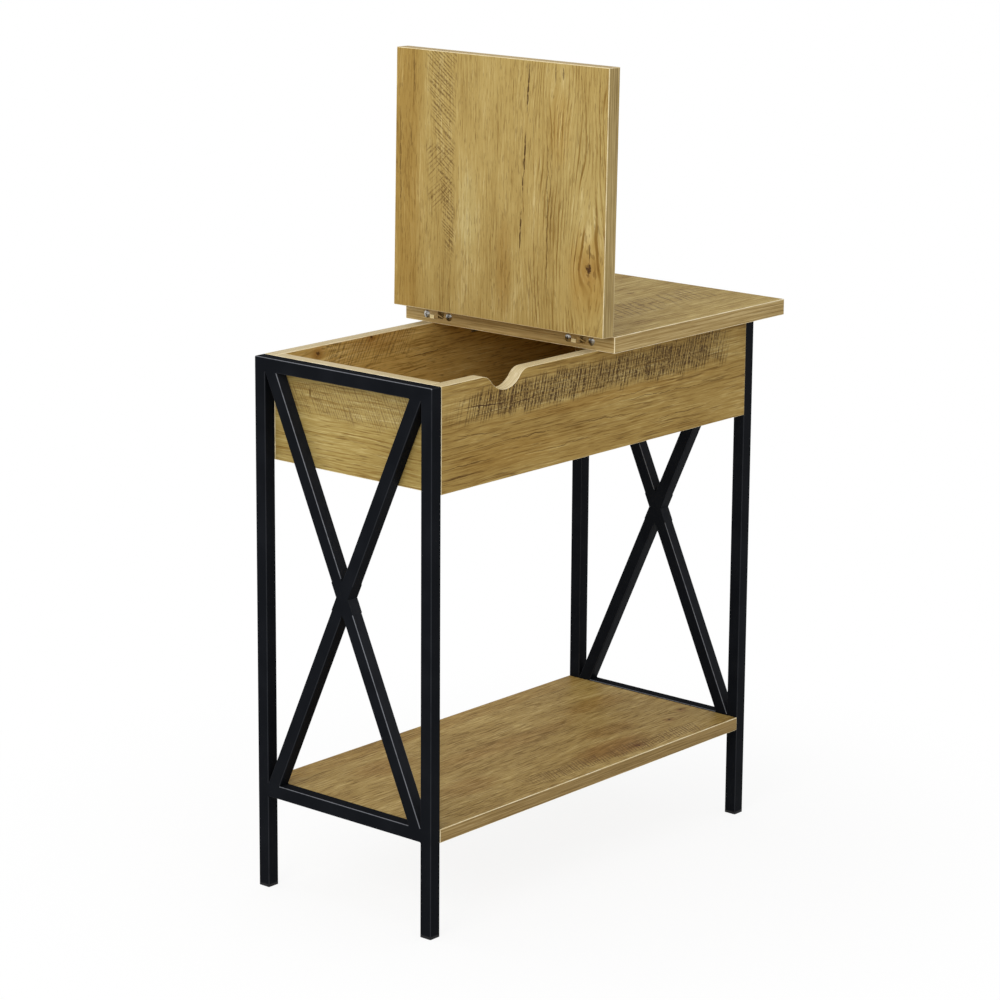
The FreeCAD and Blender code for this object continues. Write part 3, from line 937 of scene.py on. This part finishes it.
@dataclass
class Board:
    """A laminated board: a copy of its solid with trimmed edges, faces and bands.

    The print of both faces starts at zero_along on the grain's axis and zero_across on the other.
    Points within same_place are one, and a point within same_plane of a side lies on it. Faces that turn
    less than nearly_flat are one, and an edge that turns more than sharp may be trimmed. A face looks
    along an axis where its normal has more than flat_lean of it.
    """

    name: str
    node: str
    thickness: Axis
    along: Axis
    across: Axis
    zero_along: float
    zero_across: float
    low_face: LaminateFace
    high_face: LaminateFace
    band: EdgeBand
    trim: TrimLine = TrimLine()
    trim_width: float = 0.0007
    notch: Notch | None = None
    body: str = "root"
    same_place: float = 1e-6
    same_plane: float = 2e-5
    nearly_flat: float = math.radians(0.5)
    sharp: float = math.radians(30)
    flat_lean: float = 0.7

    def build(self, frame: dict, effects: Effects) -> None:
        """Make the board, dress it and let it stand for its node.

        Args:
            frame: The loaded frame.
            effects: The shared effects.
        """
        shape = bmesh.new()
        shape.from_mesh(frame["nodes"][self.node].data)
        bmesh.ops.remove_doubles(shape, verts=shape.verts, dist=self.same_place)
        bmesh.ops.dissolve_limit(shape, angle_limit=self.nearly_flat, verts=shape.verts, edges=shape.edges)
        turn = self.squaring(shape)
        square = [turn @ vert.co for vert in shape.verts]
        corners = [Vector([pick(spot[axis] for spot in square) for axis in Axis]) for pick in (min, max)]
        rim = [edge for edge in shape.edges if self.is_rim(edge, turn, corners)]
        trimmed = bmesh.ops.bevel(shape, geom=rim, affect="EDGES", offset=self.trim_width, segments=2,
                                  profile=0.5, material=-1, offset_type="OFFSET", clamp_overlap=True)
        trims = set(trimmed["faces"])
        run = shape.loops.layers.uv.new(BOARD_MAP)
        for face in shape.faces:
            face.material_index = Skin.TRIM if face in trims else self.skin_of(face)
            self.lay_run(face, run)
        piece = add_shape(f"{self.name}_board", shape, (
            self.low_face.material(effects, self), self.high_face.material(effects, self),
            self.band.material(effects, f"{self.name}_edge_band"),
            self.trim.material(f"{self.name}_trim_line")))
        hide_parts(self.node)
        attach(piece, self.body)
        log.info("board %s", piece.name)

    def squaring(self, shape: bmesh.types.BMesh) -> Matrix:
        """Turn that brings a leaning board square to the axes.

        Args:
            shape: The board.

        Returns:
            The turn, found from its broadest face.
        """
        broad = max(shape.faces, key=lambda face: face.calc_area()).normal
        straight = Vector((0.0, 0.0, 0.0))
        straight[self.thickness] = math.copysign(1.0, broad[self.thickness])
        return broad.rotation_difference(straight).to_matrix()

    def is_rim(self, edge: bmesh.types.BMEdge, turn: Matrix, corners: Sequence[Vector]) -> bool:
        """Whether an edge belongs to the board's outline, where the band is trimmed.

        Args:
            edge: An edge of the board.
            turn: Turn that brings the board square.
            corners: The squared board's lowest and highest corner.

        Returns:
            True if it does.
        """
        if not edge.is_manifold or edge.calc_face_angle(0.0) < self.sharp:
            return False
        spots = [turn @ vert.co for vert in edge.verts]
        planes = sum(all(abs(spot[axis] - corner[axis]) < self.same_plane for spot in spots)
                     for axis in Axis for corner in corners)
        return planes >= 2 or (planes == 1 and self.in_notch(edge))

    def in_notch(self, edge: bmesh.types.BMEdge) -> bool:
        """Whether an edge belongs to the finger notch's outline.

        Args:
            edge: An edge on one side of the board.

        Returns:
            True if it does.
        """
        if self.notch is None:
            return False
        start, end = (vert.co for vert in edge.verts)
        middle = (start + end) / 2
        on_face = abs(start[self.thickness] - end[self.thickness]) < self.same_plane / 2
        return on_face and self.notch.start < middle.x < self.notch.end and middle.z > self.notch.bottom

    def skin_of(self, face: bmesh.types.BMFace) -> Skin:
        """The material of an untrimmed face.

        Args:
            face: A face of the board.

        Returns:
            The material's place in the mesh.
        """
        lean = face.normal[self.thickness]
        if abs(lean) <= self.flat_lean:
            return Skin.BAND
        return Skin.LOW_FACE if lean < 0 else Skin.HIGH_FACE

    def lay_run(self, face: bmesh.types.BMFace, run: bmesh.types.BMLayerItem) -> None:
        """Write a face's run: along the edge or the grain, then across it, in metres.

        Args:
            face: A face of the board.
            run: The UV layer.
        """
        first, second = self.along, self.thickness
        if abs(face.normal[self.thickness]) > self.flat_lean:
            second = self.across
        elif abs(face.normal[self.along]) > self.flat_lean:
            first = self.across
        for loop in face.loops:
            loop[run].uv = (loop.vert.co[first], loop.vert.co[second])


@dataclass
class BoardWork:
    """What every sub-assembly of boards is made with: the loaded frame and the shared effects."""

    frame: dict
    effects: Effects


@dataclass
class LidAssembly(BoardWork):
    """The lid, upright at rest, seen on its underside."""

    def build(self) -> None:
        """Make and dress the lid."""
        low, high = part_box("lid")
        underside = LaminateFace(
            "lid_underside_laminate", 1.7,
            tones=OakTones(lines=0.75, fibres=0.85, rings=1.0, ring_rate=194.0, ring_sway=7.5, pores=0.36,
                           pore_gate=0.60, pore_run=95.0),
            ring_fade=(-0.065, -0.030),
            patches=(
                Patch(0.112, 0.042, 0.055, 0.016, (1.13, 1.22, 1.42, 1.0), 0.9),
                Patch(0.160, -0.115, 0.100, 0.050, (1.05, 1.10, 1.20, 1.0), 0.7),
                Patch(0.070, -0.128, 0.050, 0.030, paint(232, 205, 150), 0.5),
                Patch(0.215, -0.085, 0.045, 0.018, paint(232, 210, 160), 0.4),
                Patch(0.060, -0.010, 0.060, 0.012, paint(222, 200, 160), 0.5),
            ),
            seams=(
                Seam(0.0625, paint(248, 246, 240), 0.5),
                Seam(0.112, paint(230, 214, 180), 0.7, 0.012),
            ),
            saw_bands=(
                SawBand(0.045, 0.340, 0.0875, 0.0260, 54.0, 0.0038, 0.12, 0.80,
                        start_share=0.3, sharp_side=-1.0, ink=paint(106, 82, 46)),
                SawBand(0.110, 0.190, 0.0830, 0.0215, -48.0, 0.0042, 0.05, 0.6,
                        sharp_side=-1.0),
            ),
            cracks=(
                Crack(0.257, -0.040, 0.028, 0.0015, -0.04),
                Crack(0.213, -0.048, 0.018, 0.0006, 0.0, strength=0.5),
                Crack(0.186, -0.0365, 0.025, 0.0016, -0.04),
                Crack(0.154, -0.035, 0.010, 0.0012, 0.0),
                Crack(0.104, -0.0325, 0.024, 0.0015, -0.04),
                Crack(0.258, 0.123, 0.030, 0.0008, 0.05, strength=0.7),
                Crack(0.191, 0.1275, 0.013, 0.0008, 0.0, strength=0.7),
                Crack(0.150, 0.142, 0.075, 0.0008, 0.02, strength=0.7),
                Crack(0.150, -0.069, 0.050, 0.0009, 0.01, 0.006, 0.6),
                Crack(0.145, -0.074, 0.060, 0.0007, 0.02, 0.006, 0.5),
                Crack(0.085, -0.070, 0.052, 0.0009, 0.0, 0.006, 0.6),
                Crack(0.276, -0.0775, 0.011, 0.0010, 0.0, 0.004, 0.7),
                Crack(0.276, -0.0880, 0.007, 0.0014, 0.0, 0.003, 0.7),
                Crack(0.089, -0.1290, 0.011, 0.0010, 0.02, 0.003, 0.8),
            ),
            knots=(
                Knot(0.260, -0.078, 0.032, 0.015, 0.0008, 0.8, 0.2, 0.1),
                Knot(0.072, -0.128, 0.075, 0.034, 0.0066, 0.93, 0.92, 0.26),
            ),
        )
        upper = LaminateFace("lid_upper_laminate", 6.2,
                             saw_bands=(SawBand(0.02, 0.27, -0.06, 0.03, 52.0, 0.005, 0.04, 0.5),),
                             cracks=(Crack(0.18, 0.03, 0.05), Crack(0.09, 0.08, 0.04)),
                             knots=(Knot(0.20, 0.085, 0.06, 0.03, 0.004),))
        band = EdgeBand(3.0, paint(128, 106, 62), paint(168, 145, 93), paint(198, 176, 126))
        trim = TrimLine(paint(222, 205, 162), paint(202, 182, 134))
        Board("lid", "lid", Axis.X, Axis.Z, Axis.Y, low.z, (low.y + high.y) / 2, underside, upper, band,
              trim, body="lid").build(self.frame, self.effects)


@dataclass
class FixedTop(BoardWork):
    """The board that stays on the right half of the table."""

    def build(self) -> None:
        """Make and dress the fixed top."""
        low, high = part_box("fixed_top")
        upper = LaminateFace(
            "fixed_top_upper_laminate", 2.9,
            tones=OakTones(dark=paint(124, 94, 40), middle=paint(164, 139, 75), light=paint(190, 168, 106),
                           lines=1.7, fibres=1.5, pores=0.4),
            seams=(Seam(0.062, paint(238, 226, 204), 0.6),),
            saw_bands=(
                SawBand(0.030, 0.300, -0.062, 0.036, 64.0, 0.0085, 0.05, 0.70, tilt=0.03),
            ),
            cracks=(
                Crack(0.285, 0.0695, 0.030, 0.0006, 0.0),
                Crack(0.200, 0.066, 0.060, 0.0006, 0.03),
                Crack(0.216, 0.001, 0.010, 0.0007),
                Crack(0.183, -0.055, 0.008, 0.0007),
            ),
            knots=(
                Knot(0.216, 0.0, 0.030, 0.012, 0.0018, 0.7),
                Knot(0.183, -0.055, 0.025, 0.010, 0.0016, 0.7),
            ),
        )
        lower = LaminateFace("fixed_top_lower_laminate", 8.1)
        band = EdgeBand(5.0, paint(132, 106, 58), paint(170, 144, 92), paint(196, 173, 122))
        Board("fixed_top", "fixed_top", Axis.Z, Axis.X, Axis.Y, low.x, (low.y + high.y) / 2, lower, upper,
              band).build(self.frame, self.effects)


@dataclass
class StorageBox(BoardWork):
    """The five panels of the storage box."""

    notch_from_box_end: float = 0.100
    notch_reach: float = 0.038
    notch_reach_down: float = 0.019
    front_trim: float = 0.0004
    # The inside faces get lighter tones than the outside: painted light that stands in for the light reaching
    # into the box.
    inner_tones: OakTones = OakTones(dark=paint(150, 117, 58), middle=paint(202, 169, 98),
                                     light=paint(224, 197, 130), lines=1.7, pores=0.45)

    def build(self) -> None:
        """Make and dress the panels."""
        self.front()
        self.back()
        self.ends()
        self.bottom()

    def pale_band(self, seed: float) -> EdgeBand:
        """The pale band on the panels' top edges."""
        return EdgeBand(seed, paint(160, 141, 100), paint(190, 173, 133), paint(214, 200, 166),
                        lines=1.7, rings=0.4, pores=0.15)

    def front(self) -> None:
        """Front panel, with the finger notch and a band of saw marks under its top edge."""
        low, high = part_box("box_front_panel")
        outer = LaminateFace(
            "box_front_outer_laminate", 3.6,
            tones=OakTones(dark=paint(120, 89, 39), middle=paint(161, 132, 72), light=paint(190, 165, 104),
                           lines=1.0, pores=0.6, pore_gate=0.622, pore_run=26.0, rings=0.5,
                           ring_rate=125.0, ring_sway=2.6, wander=0.007),
            patches=(
                Patch(0.0, -0.029, 0.30, 0.020, (1.14, 1.21, 1.40, 1.0), 0.9),
                Patch(0.02, -0.053, 0.20, 0.008, paint(234, 212, 170), 0.35),
                Patch(-0.15, -0.085, 0.10, 0.020, paint(232, 214, 176), 0.4),
            ),
            saw_bands=(
                SawBand(-0.262, 0.250, -0.0315, 0.0235, 76.0, 0.0050, 0.13, 0.95,
                        tilt=0.012, start_share=0.75, ink=paint(66, 45, 23)),
                SawBand(-0.225, 0.240, -0.0285, 0.0215, 78.0, 0.0028, 0.16, 0.9,
                        tilt=0.010, start_share=0.8, ink=paint(84, 62, 36)),
            ),
            cracks=(
                Crack(-0.190, -0.0305, 0.038, 0.0010, -0.07, 0.004),
                Crack(-0.130, -0.0340, 0.027, 0.0009, 0.04, 0.004, 0.8),
                Crack(-0.206, -0.059, 0.032, 0.0007, -0.08, 0.004, 0.7),
                Crack(-0.218, -0.0885, 0.045, 0.0007, 0.0, 0.005, 0.7),
                Crack(-0.232, -0.0995, 0.030, 0.0007, 0.0, 0.004, 0.7),
                Crack(-0.118, -0.0735, 0.045, 0.0007, -0.03, 0.005, 0.7),
                Crack(0.110, -0.0635, 0.088, 0.0007, -0.02, 0.006, 0.65),
                Crack(0.005, -0.0760, 0.050, 0.0007, -0.06, 0.005, 0.7),
                Crack(0.140, -0.0910, 0.060, 0.0007, 0.02, 0.005, 0.6),
                Crack(0.060, -0.0560, 0.070, 0.0006, 0.03, 0.006, 0.5),
                Crack(-0.060, -0.0930, 0.060, 0.0006, 0.02, 0.006, 0.5),
            ),
        )
        inner = LaminateFace("box_front_inner_laminate", 12.4, tones=self.inner_tones)
        middle = low.x + self.notch_from_box_end
        notch = Notch(middle - self.notch_reach, middle + self.notch_reach, high.z - self.notch_reach_down)
        Board("box_front", "box_front_panel", Axis.Y, Axis.X, Axis.Z, (low.x + high.x) / 2, high.z, outer,
              inner, self.pale_band(7.0), trim_width=self.front_trim,
              notch=notch).build(self.frame, self.effects)

    def back(self) -> None:
        """Back panel, whose inner face shows when the lid is up."""
        low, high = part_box("box_back_panel")
        inner = LaminateFace(
            "box_back_inner_laminate", 4.4,
            tones=self.inner_tones,
            patches=(Patch(-0.100, -0.006, 0.060, 0.014, paint(214, 196, 178), 0.6),),
            saw_bands=(SawBand(-0.190, -0.03, -0.008, 0.022, 60.0, 0.0042, 0.08, 0.62,
                               tilt=-0.04, ink=paint(96, 70, 40)),),
            cracks=(
                Crack(-0.017, -0.033, 0.034, 0.0006, 0.04),
                Crack(-0.034, -0.049, 0.030, 0.0005, 0.1, strength=0.7),
                Crack(-0.10, -0.060, 0.040, 0.0004, 0.0, strength=0.5),
            ),
            knots=(
                Knot(-0.193, -0.008, 0.030, 0.014, 0.0040, 0.9),
                Knot(-0.108, -0.002, 0.02, 0.01, 0.003, 0.7),
            ),
        )
        outer = LaminateFace("box_back_outer_laminate", 5.5,
                             saw_bands=(SawBand(-0.20, 0.21, -0.060, 0.022, 80.0, 0.004, 0.06, 0.55),),
                             cracks=(Crack(-0.05, -0.030, 0.06), Crack(0.15, -0.09, 0.05)),
                             knots=(Knot(0.19, -0.025, 0.04, 0.014, 0.003),))
        Board("box_back", "box_back_panel", Axis.Y, Axis.X, Axis.Z, (low.x + high.x) / 2, high.z, inner,
              outer, self.pale_band(8.0)).build(self.frame, self.effects)

    def ends(self) -> None:
        """The two end panels, between the front and the back."""
        for side, seed in (("left", 6.6), ("right", 9.3)):
            node = f"box_{side}_panel"
            _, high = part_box(node)
            outer = LaminateFace(
                f"box_{side}_outer_laminate", seed,
                tones=OakTones(dark=paint(128, 98, 46), middle=paint(160, 137, 78),
                               light=paint(186, 166, 108), wander=0.010, pores=0.5, pore_gate=0.62,
                               pore_run=45.0, rings=0.6, ring_rate=170.0, ring_sway=4.0),
                patches=(Patch(0.0, -0.032, 0.14, 0.026, (1.04, 1.08, 1.20, 1.0), 0.9),
                         Patch(0.059, -0.0325, 0.0014, 0.0065, paint(120, 84, 50), 0.85)),
                saw_bands=(SawBand(-0.16, 0.16, -0.034, 0.022, 64.0, 0.0030, 0.12, 0.62,
                                   tilt=-0.03, ink=paint(104, 80, 50)),),
                cracks=(
                    Crack(0.020, -0.0215, 0.045, 0.0004, -0.01, 0.003, 0.6),
                    Crack(-0.040, -0.074, 0.030, 0.0003, 0.0, 0.003, 0.4),
                ),
            )
            inner = LaminateFace(f"box_{side}_inner_laminate", seed + 5.0, tones=self.inner_tones)
            low_face, high_face = (outer, inner) if side == "left" else (inner, outer)
            Board(f"box_{side}", node, Axis.X, Axis.Y, Axis.Z, 0.0, high.z, low_face, high_face,
                  self.pale_band(seed + 2.0)).build(self.frame, self.effects)

    def bottom(self) -> None:
        """The box's floor."""
        low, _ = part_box("box_bottom_panel")
        floor = LaminateFace("box_floor_laminate", 13.8, tones=self.inner_tones)
        under = LaminateFace("box_under_laminate", 15.2)
        Board("box_bottom", "box_bottom_panel", Axis.Z, Axis.X, Axis.Y, low.x, 0.0, under, floor,
              EdgeBand(10.0)).build(self.frame, self.effects)


@dataclass
class ShelfBoard(BoardWork):
    """The shelf between the bottom rails."""

    def build(self) -> None:
        """Make and dress the shelf."""
        low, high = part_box("shelf")
        upper = LaminateFace(
            "shelf_upper_laminate", 10.3,
            tones=OakTones(dark=paint(112, 84, 38), middle=paint(160, 133, 74), light=paint(192, 168, 108),
                           clouds=0.75, lines=0.8, fibres=1.7, rings=0.25, ring_rate=150.0,
                           pores=0.5, pore_gate=0.60, pore_run=60.0),
            patches=(
                Patch(0.122, -0.045, 0.05, 0.020, paint(212, 188, 146), 0.55),
                Patch(0.190, 0.030, 0.06, 0.022, paint(220, 196, 152), 0.6),
                Patch(0.0, 0.010, 0.15, 0.020, paint(214, 190, 150), 0.5),
                Patch(-0.133, -0.056, 0.05, 0.025, paint(216, 190, 150), 0.5),
                Patch(-0.150, 0.057, 0.05, 0.025, paint(216, 190, 150), 0.5),
                Patch(0.075, -0.090, 0.07, 0.025, paint(208, 180, 140), 0.8),
            ),
            seams=(Seam(0.098, paint(234, 220, 196), 0.5),),
            saw_bands=(
                SawBand(-0.09, 0.23, -0.097, 0.015, 62.0, 0.0040, 0.12, 0.85, tilt=-0.04),
            ),
            cracks=(
                Crack(0.186, 0.097, 0.05, 0.0006, 0.0, 0.003, 0.7),
                Crack(0.008, 0.025, 0.085, 0.0005, -0.09, 0.005, 0.5),
            ),
            knots=(
                Knot(0.239, -0.059, 0.025, 0.012, 0.0030, 0.8, 0.95),
                Knot(0.200, -0.072, 0.025, 0.012, 0.0034, 0.8, 0.95),
                Knot(0.102, -0.105, 0.030, 0.014, 0.0034, 0.8, 0.95),
            ),
        )
        lower = LaminateFace("shelf_lower_laminate", 17.0)
        band = EdgeBand(11.0, paint(116, 92, 48), paint(150, 124, 76), paint(178, 154, 106))
        Board("shelf", "shelf", Axis.Z, Axis.X, Axis.Y, (low.x + high.x) / 2, 0.0, lower, upper,
              band).build(self.frame, self.effects)


# ---------------------------------------------------------------- tubes and fittings


def dress_nodes(frame: dict, nodes: Iterable[str], material: bpy.types.Material) -> None:
    """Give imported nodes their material.

    Args:
        frame: The loaded frame.
        nodes: The nodes' names.
        material: Their finish.
    """
    for node in nodes:
        packed = frame["nodes"][node]
        if not packed.material_slots:
            packed.data.materials.append(material)
        for slot in packed.material_slots:
            slot.material = material


@dataclass
class EndFrames:
    """Both welded end frames with their feet, bolts, washers, nuts, tabs and shelf screws."""

    frame: dict
    steel: bpy.types.Material
    plastic: bpy.types.Material
    zinc: bpy.types.Material
    sides: tuple[str, ...] = ("left", "right")
    tubes: tuple[str, ...] = ("front_leg", "back_leg", "top_rail", "bottom_rail", "long_brace",
                              "upper_half_brace", "lower_half_brace", "shelf_tabs")
    feet: tuple[str, ...] = ("front_foot", "back_foot")
    plated: tuple[str, ...] = ("frame_bolts", "frame_washers", "rivet_nuts", "shelf_screws")

    def build(self) -> None:
        """Dress every node of the end frames."""
        for side in self.sides:
            for parts, material in ((self.tubes, self.steel), (self.feet, self.plastic),
                                    (self.plated, self.zinc)):
                dress_nodes(self.frame, [f"{side}_{part}" for part in parts], material)


@dataclass
class Fittings:
    """Dowels, top brackets and the two hinges."""

    frame: dict
    beech: bpy.types.Material
    zinc: bpy.types.Material
    brass: bpy.types.Material
    bright: bpy.types.Material
    beech_nodes: tuple[str, ...] = ("box_dowels",)
    zinc_nodes: tuple[str, ...] = ("top_brackets", "top_bracket_screws")
    brass_nodes: tuple[str, ...] = ("front_hinge_fixed_leaf", "back_hinge_fixed_leaf",
                                    "front_hinge_lid_leaf", "back_hinge_lid_leaf")
    bright_nodes: tuple[str, ...] = ("front_hinge_pin", "back_hinge_pin", "hinge_fixed_screws",
                                     "hinge_lid_screws")

    def build(self) -> None:
        """Dress the fittings."""
        for nodes, material in ((self.beech_nodes, self.beech), (self.zinc_nodes, self.zinc),
                                (self.brass_nodes, self.brass), (self.bright_nodes, self.bright)):
            dress_nodes(self.frame, nodes, material)


# ---------------------------------------------------------------- studio


@dataclass(frozen=True)
class Lamp:
    """A soft lamp that points at the table."""

    name: str
    place: tuple[float, float, float]
    size: float
    power: float


@dataclass
class Studio:
    """Camera, lamps, white surroundings and floor."""

    eye: tuple[float, float, float] = (-2.7482, -2.3250, 1.2946)
    yaw: float = 0.7080
    pitch: float = -0.2219
    roll: float = 0.0071
    focal_pixels: float = 3337.2
    picture_pixels: float = 1000.0
    optical_row: float = 430.0
    sensor: float = 36.0
    farthest: float = 60.0
    target: tuple[float, float, float] = (0.0, 0.0, 0.45)
    ambient: float = 0.78
    floor_reach: float = 14.0
    floor_tone: Colour = (0.9, 0.9, 0.9, 1.0)
    shadow_share: float = 0.12
    shadow_reach: tuple[float, float] = (0.32, 0.75)
    lamps: tuple[Lamp, ...] = (
        Lamp("key_softbox", (-2.6, -0.5, 2.0), 1.6, 35.0),
        Lamp("top_softbox", (-0.3, 0.9, 2.6), 1.4, 8.0),
    )

    def camera(self) -> None:
        """Set up the camera."""
        forward = Vector((math.cos(self.yaw) * math.cos(self.pitch),
                          math.sin(self.yaw) * math.cos(self.pitch), math.sin(self.pitch)))
        level = Vector((math.sin(self.yaw), -math.cos(self.yaw), 0.0))
        upright = level.cross(forward)
        right = level * math.cos(self.roll) + upright * math.sin(self.roll)
        up = upright * math.cos(self.roll) - level * math.sin(self.roll)
        turn = Matrix((right, up, -forward)).transposed()
        data = bpy.data.cameras.new("camera")
        data.sensor_width = self.sensor
        data.lens = self.focal_pixels / self.picture_pixels * self.sensor
        data.shift_y = (self.optical_row - self.picture_pixels / 2) / self.picture_pixels
        data.clip_end = self.farthest
        camera = add_object("camera", data)
        camera.matrix_world = Matrix.Translation(self.eye) @ turn.to_4x4()
        bpy.context.scene.camera = camera

    def lights(self) -> None:
        """Set up the lamps."""
        for lamp in self.lamps:
            data = bpy.data.lights.new(lamp.name, "AREA")
            data.shape = "SQUARE"
            data.size = lamp.size
            data.energy = lamp.power
            light = add_object(lamp.name, data)
            light.location = lamp.place
            aim = Vector(self.target) - Vector(lamp.place)
            light.rotation_euler = aim.to_track_quat("-Z", "Y").to_euler()

    def seen_directly(self, bench: NodeBench) -> Value:
        """Whether the camera, a mirror or glass looks at a surface.

        Args:
            bench: Bench of the surface's tree.

        Returns:
            1 if it does, otherwise 0.
        """
        path = bench.lay("ShaderNodeLightPath").outputs
        seen = bench.maths("MAXIMUM", path["Is Camera Ray"], path["Is Glossy Ray"])
        return bench.maths("MAXIMUM", seen, path["Is Transmission Ray"])

    def lead_out(self, bench: NodeBench, share: Source, shaders: Sequence[bpy.types.Node],
                 output: str) -> None:
        """Mix two shaders and lead the mix to the tree's output.

        Args:
            bench: Bench of the tree.
            share: How much of the second shader shows.
            shaders: The two shader nodes.
            output: Blender's name of the output node's type.
        """
        either = bench.lay("ShaderNodeMixShader", share, *(bench.out(shader) for shader in shaders))
        bench.lay(output, bench.out(either))

    def surroundings(self) -> None:
        """White to the eye, softer as a light."""
        world = bpy.data.worlds.new("studio")
        world.use_nodes = True
        bench = NodeBench(world.node_tree)
        bench.tree.nodes.clear()
        soft, white = (bench.lay("ShaderNodeBackground", WHITE, strength) for strength in (self.ambient, 1.0))
        self.lead_out(bench, self.seen_directly(bench), (soft, white), "ShaderNodeOutputWorld")
        bpy.context.scene.world = world

    def floor(self) -> None:
        """A white floor that keeps a faint shadow."""
        bench = FinishBench("white_floor")
        bench.tree.nodes.clear()
        matte = bench.lay("ShaderNodeBsdfDiffuse", self.floor_tone)
        glow = bench.lay("ShaderNodeEmission", WHITE, 1.0)
        x, y, _ = bench.split(bench.coordinates())
        away = bench.maths("SQRT", x * x + y * y)
        share = bench.ramp(away, *self.shadow_reach, low=1.0 - self.shadow_share, high=1.0)
        self.lead_out(bench, self.seen_directly(bench) * share, (matte, glow), "ShaderNodeOutputMaterial")
        shape = bmesh.new()
        bmesh.ops.create_grid(shape, x_segments=1, y_segments=1, size=self.floor_reach)
        add_shape("floor", shape, (bench.material,))

    def build(self) -> None:
        """Set up the whole studio."""
        self.camera()
        self.lights()
        self.surroundings()
        self.floor()
        bpy.context.scene.view_settings.view_transform = "Standard"


# ---------------------------------------------------------------- the whole table


def main() -> None:
    """Load the frame and build the looks."""
    logging.basicConfig(level=logging.INFO, format="%(name)s: %(message)s")
    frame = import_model()
    Studio().build()
    effects = Effects()
    steel = SteelPaint("satin_black_paint").material(effects)
    zinc = MetalFinish("zinc_plate", paint(196, 198, 200), paint(150, 152, 152), 0.34).material(effects)
    brass = MetalFinish("hinge_brass", paint(176, 148, 92), paint(140, 112, 62), 0.45, 0.3,
                        proud_x=-0.02105).material(effects)
    bright = MetalFinish("bright_plate", paint(186, 183, 176), paint(104, 101, 95), 0.18).material(effects)
    plastic = MattePlastic("foot_plastic").material()
    beech = BareBeech("dowel_beech").material(effects)
    for work in (EndFrames(frame, steel, plastic, zinc), Fittings(frame, beech, zinc, brass, bright),
                 StorageBox(frame, effects), ShelfBoard(frame, effects), FixedTop(frame, effects),
                 LidAssembly(frame, effects)):
        work.build()
        log.info("%s is done", type(work).__name__)


if __name__ == "__main__":
    main()
